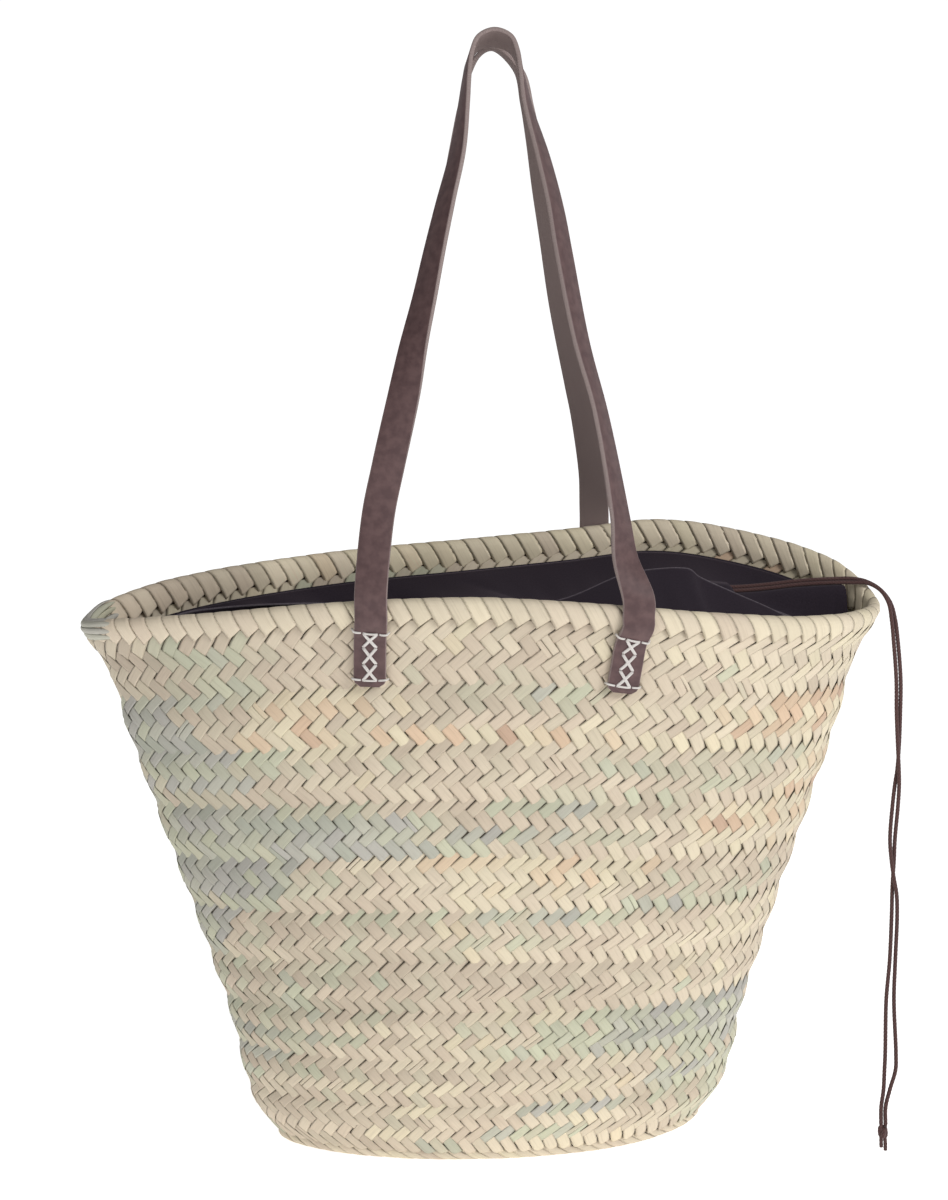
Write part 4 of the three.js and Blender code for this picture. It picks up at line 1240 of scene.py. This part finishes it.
def under_cord(middle):
    """Where the cord lies on the collar, the cloth is drawn up to it and falls off on both sides. At
    its start the cord is still in its casing, so there the cloth goes over it. The share of the
    cord's height in the cloth's is e^-(d / 8.5)^2 at the distance d from the cord."""
    x, y, z = middle[..., 0], middle[..., 1], middle[..., 2]
    route = CORD_ROUTE[:7]
    along = np.clip(x, 112, 243)
    cord_y, cord_z = (np.interp(along, route[:, 0], route[:, k]) for k in (1, 2))
    off = np.hypot(np.maximum(np.abs(y - cord_y) - 4, 0), x - along)
    share = np.exp(-((off / 8.5) ** 2))
    out_of_casing = np.clip((x - 158) / 4, 0, 1)
    height = cord_z + (CORD_DIAMETER / 2 + 1.7) * (1 - 2 * out_of_casing)
    middle = middle.copy()
    middle[..., 2] = lerp(z, height, share)
    return middle


print("the cord lies on the collar from x", CORD_ROUTE[0, 0], "to", CORD_ROUTE[6, 0])

# %% [markdown]
# The finished collar is the middle surface drawn up under the cord, with a cloth's thickness. Its cut
# edge is a thin rolled hem of paler threads.

# %% The collar, drawn up under the cord
middle = under_cord(collar_middle())
collar = swept(
    "collar", two_sided(middle, COLLAR_CLOTH)[None], COTTON, "cotton", "lining_collar", uv=cloth_uv(middle),
    closed=True,
)
print("area of the collar:", round(area_of(middle), 4), "square metres")
hem_path = middle[-1]
hem_along = unit(np.roll(hem_path, -1, 0) - np.roll(hem_path, 1, 0))
hem_side = unit(np.cross(hem_along, np.array([0, 0, 1.0])))
hem_up = np.cross(hem_side, hem_along)
bead = np.linspace(0, 2 * np.pi, 9)[:-1]
hem_rings = hem_path[:, None] + HEM_RADIUS * around(hem_side, hem_up, bead[None, :])
hem_run = np.arange(len(hem_path))[:, None] * 1.3 + 0 * bead[None, :]
hem_piece = swept(
    "collar_hem", hem_rings[None], HEM, "cotton", closed=True,
    uv=paired(bead[None, :], hem_run),
)

# %% [markdown]
# ## Leather straps
#
# A strap is one long flat strip, smooth and purple brown on its grain side, raw and speckled on the
# other, with pale fuzzy cut edges. Its path is a table of places together with the way its width
# turns there. A rounded section carried along the path gives all three faces.

# %% Strap paths
# Share of half the spread, rise and lean towards the top of the loop, angle of the strap's width.
FRONT_LOOP = np.array([
    (-0.925, 0.14, 0.106, 6), (-0.844, 0.227, 0.149, 5), (-0.711, 0.356, 0.243, 20),
    (-0.63, 0.442, 0.32, 38), (-0.535, 0.528, 0.409, 50), (-0.446, 0.614, 0.505, 57),
    (-0.35, 0.7, 0.609, 63), (-0.246, 0.789, 0.718, 70), (-0.182, 0.878, 0.833, 80),
    (-0.15, 0.929, 0.9, 85), (-0.116, 0.965, 0.95, 87), (-0.055, 0.989, 0.985, 89),
    (0.07, 1, 1, 90), (0.2, 0.989, 0.985, 94), (0.254, 0.965, 0.95, 98), (0.282, 0.93, 0.9, 103),
    (0.314, 0.878, 0.833, 110), (0.411, 0.789, 0.718, 119), (0.491, 0.7, 0.609, 123),
    (0.5425, 0.614, 0.505, 126), (0.65, 0.458, 0.338, 124), (0.7825, 0.332, 0.225, 121),
    (0.917, 0.146, 0.107, 130), (0.952, 0.073, 0.07, 146),
])
BACK_LOOP = np.array([
    (-0.945, 0.11, 0.06, 150), (-0.8, 0.26, 0.135, 141), (-0.675, 0.407, 0.24, 130),
    (-0.57, 0.511, 0.35, 124), (-0.476, 0.613, 0.475, 118), (-0.403, 0.713, 0.61, 113),
    (-0.345, 0.811, 0.745, 108), (-0.3, 0.888, 0.855, 102), (-0.242, 0.952, 0.94, 96),
    (-0.16, 0.988, 0.985, 93), (-0.04, 1, 1, 90), (0.175, 0.955, 0.94, 84), (0.257, 0.888, 0.855, 78),
    (0.333, 0.811, 0.745, 72), (0.414, 0.713, 0.61, 67), (0.505, 0.613, 0.475, 62),
    (0.632, 0.468, 0.3, 54), (0.805, 0.3, 0.165, 43), (0.889, 0.215, 0.1, 40),
    (0.976, 0.085, 0.045, 33),
])
FRONT_STRAP = dict(
    loop=FRONT_LOOP, left=(-1, -0.994), right=(0.935, 1.045), spread=159, centre=-4.5,
    top=713.6, top_y=0, side=-1, dip=12, dip_at_top=29,
)
BACK_STRAP = dict(
    loop=BACK_LOOP, left=(-1, -0.99), right=(1, 1), spread=152, centre=7,
    top=708.0, top_y=21.5, side=1, dip=-12, dip_at_top=1,
)


def wall_depth_at(x, z, side):
    """Depth of the wall at x and z, by stepping the angle until the wall's point has that x."""
    angle = np.full_like(x, side * np.pi / 2)
    for _ in range(12):
        rise = (z - wall_bottom(angle)) / (wall_top(angle) - wall_bottom(angle))
        rise = np.minimum(rise, 1)
        point = wall_point(angle, rise, 0)
        angle = angle + side * (point[..., 0] - x) / (wall_point(0, rise, 0)[..., 0] - MOUTH_SHIFT)
    return point[..., 1]


def rim_angle_at(x, side):
    """Angle round the rim at which it has the given x, by stepping the angle."""
    angle = side * np.pi / 2
    for _ in range(12):
        angle = angle + side * (rim_centre(angle)[0] - x) / (MOUTH_WIDTH / 2)
    return angle


def tab_rows(ends, strap, mirrored):
    """Rows x, y, z, turn of one sewn end, from its foot up over the rim."""
    side, half = strap["side"], strap["spread"] / 2

    def x_at(share):
        return strap["centre"] + half * lerp(ends[0], ends[1], share)

    angle = rim_angle_at(x_at(1.0), side)
    top, outward = float(rim_top(angle)), rim_outward(np.array(angle))
    lean = math.degrees(math.atan2(outward[0], abs(outward[1])))
    turn = 180 + side * lean if mirrored else side * lean
    foot, sewn_top = top - STRAP_TAB_LENGTH, top - RIM_ROLL_HEIGHT - 8
    z = lerp(foot, sewn_top, np.array([0, 0.5, 1]))
    x = x_at((z - foot) / STRAP_TAB_LENGTH)
    y = wall_depth_at(x, z, side) + side * (CLEARANCE + STRAP_THICKNESS / 2)
    on_wall = np.stack([x, y, z, 0 * x + turn], -1)
    reach = RIM_ROLL_WIDTH / 2 + 0.8 + STRAP_THICKNESS / 2
    over_y = rim_centre(np.array(angle))[1] + side * reach / abs(outward[1])
    over = [(x_at(1.0), over_y, top - RIM_ROLL_HEIGHT * share, turn) for share in (0.8, 0.4, -0.3)]
    return np.concatenate([on_wall, over])


def strap_rows(strap):
    """Rows x, y, z, turn of a whole strap: one sewn end, the free loop as shares of its spread and
    height, and the other sewn end."""
    half, side = strap["spread"] / 2, strap["side"]
    left = tab_rows(strap["left"], strap, side > 0)
    right = tab_rows(strap["right"], strap, side < 0)
    across, rise, lean, turn = strap["loop"].T
    start = np.where(across[:, None] < 0, left[-1], right[-1])
    free = np.stack([
        strap["centre"] + half * across, lerp(start[:, 1], strap["top_y"], lean),
        lerp(start[:, 2], strap["top"], rise), turn,
    ], -1)
    return np.concatenate([left, free, right[::-1]])


def strap_frames(strap, step=2.0):
    """Middle line of a strap with its width and thickness directions, an even step apart."""
    rows = strap_rows(strap)
    each = 24
    fine = through(rows[:, :3], each)
    place = np.arange(len(fine)) / each / (len(rows) - 1)
    table = np.stack([np.linspace(0, 1, len(rows)), rows[:, 3]], -1)
    turn = np.radians(read(table, 1, np.clip(place, 0, 1)))
    run = np.concatenate([[0], np.cumsum(np.linalg.norm(np.diff(fine, axis=0), axis=1))])
    at = np.linspace(0, run[-1], int(run[-1] / step) + 1)
    path = np.stack([np.interp(at, run, fine[:, k]) for k in range(3)], -1)
    turn = np.interp(at, run, turn)
    near_top = np.clip((path[:, 2] - strap["top"] + 60) / 60, 0, 1) ** 1.5
    dip = np.radians(lerp(strap["dip"], strap["dip_at_top"], near_top))
    side = np.stack([-np.cos(turn), np.sin(turn) * np.cos(dip), -np.sin(turn) * np.sin(dip)], -1)
    _, wide, thick = frames_along(path, side)
    return path, wide, thick, at


front_frames, back_frames = strap_frames(FRONT_STRAP), strap_frames(BACK_STRAP)
print("straps:", round(front_frames[3][-1]), "and", round(back_frames[3][-1]), "mm long")

# %% [markdown]
# ## Leather
#
# One number kept on the mesh says which face of the strap a point is on: 1 on the grain side, 0 on the
# raw side and 0.5 on the cut edges. The material mixes its three colours by it.


# %% Leather and the straps
def leather_material():
    """Smooth purple brown on the grain side, speckled on the raw side, pale on the cut edges."""
    material, tree, shader = new_material("strap leather", 0.5, 0.3)
    speckle = place_group(tree, SPECKLE, uv_of(tree), Size=1.0)
    face = attribute_node(tree, "grain")
    grain = ramp_node(tree, speckle.outputs["Cloud"], [
        (0.35, (0.088, 0.050, 0.051)), (0.65, (0.124, 0.073, 0.072)),
    ])
    raw = ramp_node(tree, speckle.outputs["Speckle"], [
        (0.32, (0.085, 0.056, 0.053)), (0.5, (0.185, 0.138, 0.13)), (0.68, (0.34, 0.275, 0.26)),
    ])
    edge = ramp_node(tree, speckle.outputs["Speckle"], [
        (0.35, (0.17, 0.12, 0.115)), (0.6, (0.36, 0.295, 0.28)),
    ])
    smooth_side = math_node(tree, "MULTIPLY_ADD", face, 2.0, -1.0)
    raw_side = math_node(tree, "MULTIPLY_ADD", face, -2.0, 1.0)
    for node_output in (smooth_side, raw_side):
        node_output.node.use_clamp = True
    colour = mixed(tree, "MIX", smooth_side, edge, grain)
    colour = mixed(tree, "MIX", raw_side, colour, raw)
    tree.links.new(colour, shader.inputs["Base Color"])
    roughness = math_node(tree, "MULTIPLY_ADD", smooth_side, -0.42, 0.92)
    tree.links.new(roughness, shader.inputs["Roughness"])
    tree.links.new(bump_node(tree, speckle.outputs["Speckle"], 0.35, 0.00015), shader.inputs["Normal"])
    return material


LEATHER = leather_material()
# Section of a strap from its grain side round: share of half width, share of half thickness.
STRAP_SECTION = np.array([
    (1, -0.55), (1, 0.55), (0.972, 0.9), (0.93, 1), (0, 1), (-0.93, 1), (-0.972, 0.9), (-1, 0.55),
    (-1, -0.55), (-0.972, -0.9), (-0.93, -1), (0, -1), (0.93, -1), (0.972, -0.9),
])
STRAP_FACE = np.array([0.5, 0.5, 0.7, 1, 1, 1, 0.7, 0.5, 0.5, 0.3, 0, 0, 0, 0.3])


def strap_piece(name, frames, node):
    """The section carried along the strap. Its ends are cut round: d millimetres from an end the half
    width is 4 (1 - d / 4)^2 smaller."""
    path, wide, thick, at = frames
    from_end = np.minimum(at, at[-1] - at)
    cut = np.maximum(0, 1 - from_end / 4) ** 2 * 4
    half = STRAP_WIDTH / 2 - cut
    rings = (
        path[:, None]
        + wide[:, None] * (half[:, None] * STRAP_SECTION[:, 0])[..., None]
        + thick[:, None] * (STRAP_THICKNESS / 2 * STRAP_SECTION[:, 1])[..., None]
    )
    across = np.concatenate([STRAP_SECTION[:7, 0], 3 - STRAP_SECTION[7:, 0]]) * STRAP_WIDTH / 2
    uv = paired(across[None, :], at[:, None])
    grain = np.broadcast_to(STRAP_FACE, rings.shape[:2])
    return swept(name, rings[None], LEATHER, "leather", node, uv=uv, grain=grain)


strap_piece("strap_front_leather", front_frames, "strap_front")
strap_piece("strap_back_leather", back_frames, "strap_back")

# %% [markdown]
# ## Stitches
#
# Thick white waxed thread holds each strap end: a bar at the top, three crosses down the middle and
# a bar at the bottom. Each stitch is a short thread that comes out of one hole and goes into the next.


# %% Stitches
def thread_material():
    """Off-white waxed thread, darker where the speckle is low."""
    material, tree, shader = new_material("waxed thread", 0.6, 0.4)
    speckle = place_group(tree, SPECKLE, uv_of(tree), Size=1.6)
    colour = ramp_node(tree, speckle.outputs["Speckle"], [
        (0.3, (0.44, 0.40, 0.37)), (0.6, (0.76, 0.73, 0.70)),
    ])
    tree.links.new(colour, shader.inputs["Base Color"])
    tree.links.new(bump_node(tree, speckle.outputs["Speckle"], 0.5, 0.0002), shader.inputs["Normal"])
    return material


THREAD = thread_material()
THREAD_RADIUS = 0.66
# Ends of the stitches on a tab: millimetres across and up from its foot, seen from outside.
CROSSES = [(4.3, 13.9), (14.7, 24.3), (25.1, 34.2)]
STITCHES = [
    (-11.4, 4.9, -5.6, 4.2), (11.4, 4.9, 5.6, 4.2), (-4.4, 4.0, 4.4, 4.0),
    (-11.6, 35.4, -5.8, 34.8), (11.6, 35.4, 5.8, 34.8), (-4.4, 34.9, 4.4, 34.9),
] + [
    (side * -3.9 + shift, low, side * 3.9 + shift, high)
    for low, high in CROSSES for side in (-1, 1) for shift in (-0.4, 0.4)
]


def stitches(name, frames, ends):
    """Threads on the grain side of the strap's ends. Each bows out by a half sine over its run."""
    path, wide, thick, at = frames
    t = np.linspace(0, 1, 9)
    rings = []
    for end in ends:
        for number, (x0, y0, x1, y1) in enumerate(STITCHES):
            x, y = lerp(x0, x1, t), lerp(y0, y1, t)
            run = y if end == "start" else at[-1] - y
            spot = np.stack([np.interp(run, at, path[:, k]) for k in range(3)], -1)
            side = unit(np.stack([np.interp(run, at, wide[:, k]) for k in range(3)], -1))
            out = unit(np.stack([np.interp(run, at, thick[:, k]) for k in range(3)], -1))
            bow = STRAP_THICKNESS / 2 + 0.75 * np.sin(np.pi * t) ** 0.6 + 0.15 * (number % 2) - 0.25
            beyond = np.maximum(np.abs(x) - STRAP_WIDTH / 2, 0)
            line = spot + side * x[:, None] + out * (bow - 1.6 * beyond)[:, None]
            _, across, up = frames_along(line, out)
            round_by = np.linspace(0, 2 * np.pi, 9)[:-1]
            rings.append(line[:, None] + THREAD_RADIUS * around(across, up, round_by[None, :]))
    rings = np.stack(rings)
    drift = np.arange(len(rings))[:, None, None] * 13
    uv = paired(np.linspace(0, 3, 8)[None, None, :], (t * 9)[None, :, None] + drift)
    return swept(name, rings, THREAD, "leather", uv=uv)


stitches("strap_front_stitches", front_frames, ("start", "end"))
stitches("strap_back_stitches", back_frames, ("start", "end"))

# %% [markdown]
# ## Cloth facts
#
# The lining was cut from a piece of cotton as long as the mouth is round, and the collar from a
# second one.

# %% [markdown]
# ## Floor and light
#
# The bag stands on a plain white floor that runs into a white background. A large soft light comes
# from the upper right in front, and a weaker one fills from the left.


# %% Floor, sky and lamps
FLOOR_HALF, FLOOR_HEIGHT = 20, -0.0004
SKY_LEFT, SKY_RIGHT, SKY_SEEN = 0.12, 0.52, 1.05
KEY_POWER, FILL_POWER = 25, 3.5
LAMP_TARGET = (0, 0, 0.3)


def add_floor():
    """White floor just under the bag. It shines a little by itself, so that it runs into the sky."""
    mesh = bpy.data.meshes.new("floor")
    sides = ((-1, -1), (1, -1), (1, 1), (-1, 1))
    corners = [(x * FLOOR_HALF, y * FLOOR_HALF, FLOOR_HEIGHT) for x, y in sides]
    mesh.from_pydata(corners, [], [(0, 1, 2, 3)])
    floor = bpy.data.objects.new("floor", mesh)
    bpy.context.scene.collection.objects.link(floor)
    material, tree, shader = new_material("white floor", 0.9, 0.1)
    shader.inputs["Base Color"].default_value = (0.9, 0.9, 0.9, 1)
    shader.inputs["Emission Color"].default_value = (1, 1, 1, 1)
    shader.inputs["Emission Strength"].default_value = 0.8
    mesh.materials.append(material)


def add_sky(left, right, seen):
    """White all round. Its light grows evenly from the left to the right, and the camera sees one even
    white."""
    world = bpy.data.worlds.new("studio")
    world.use_nodes = True
    tree = world.node_tree
    background = tree.nodes["Background"]
    background.inputs["Color"].default_value = (1, 1, 1, 1)
    split = tree.nodes.new("ShaderNodeSeparateXYZ")
    tree.links.new(tree.nodes.new("ShaderNodeTexCoord").outputs["Generated"], split.inputs[0])
    half_range, middle = (right - left) / 2, (right + left) / 2
    light = math_node(tree, "MULTIPLY_ADD", split.outputs[0], half_range, middle)
    camera_ray = tree.nodes.new("ShaderNodeLightPath").outputs["Is Camera Ray"]
    left_out = math_node(tree, "SUBTRACT", 1.0, camera_ray)
    strength = math_node(
        tree, "MULTIPLY_ADD", camera_ray, seen, math_node(tree, "MULTIPLY", light, left_out)
    )
    tree.links.new(strength, background.inputs["Strength"])
    bpy.context.scene.world = world


def add_lamp(name, place, size, power):
    """Round soft lamp, turned towards the bag."""
    lamp = bpy.data.objects.new(name, bpy.data.lights.new(name, "AREA"))
    lamp.data.shape = "DISK"
    lamp.data.size = size
    lamp.data.energy = power
    lamp.location = place
    direction = lamp.location.copy()
    for axis in range(3):
        direction[axis] -= LAMP_TARGET[axis]
    lamp.rotation_mode = "QUATERNION"
    lamp.rotation_quaternion = direction.to_track_quat("Z", "Y")
    bpy.context.scene.collection.objects.link(lamp)


add_floor()
add_sky(SKY_LEFT, SKY_RIGHT, SKY_SEEN)
add_lamp("key", (1.3, -1.7, 1.7), 1.0, KEY_POWER)
add_lamp("fill", (-1.2, -2.0, 0.9), 1.4, FILL_POWER)
bpy.context.scene.view_settings.view_transform = "Standard"
print("floor, sky and two lamps are in place")
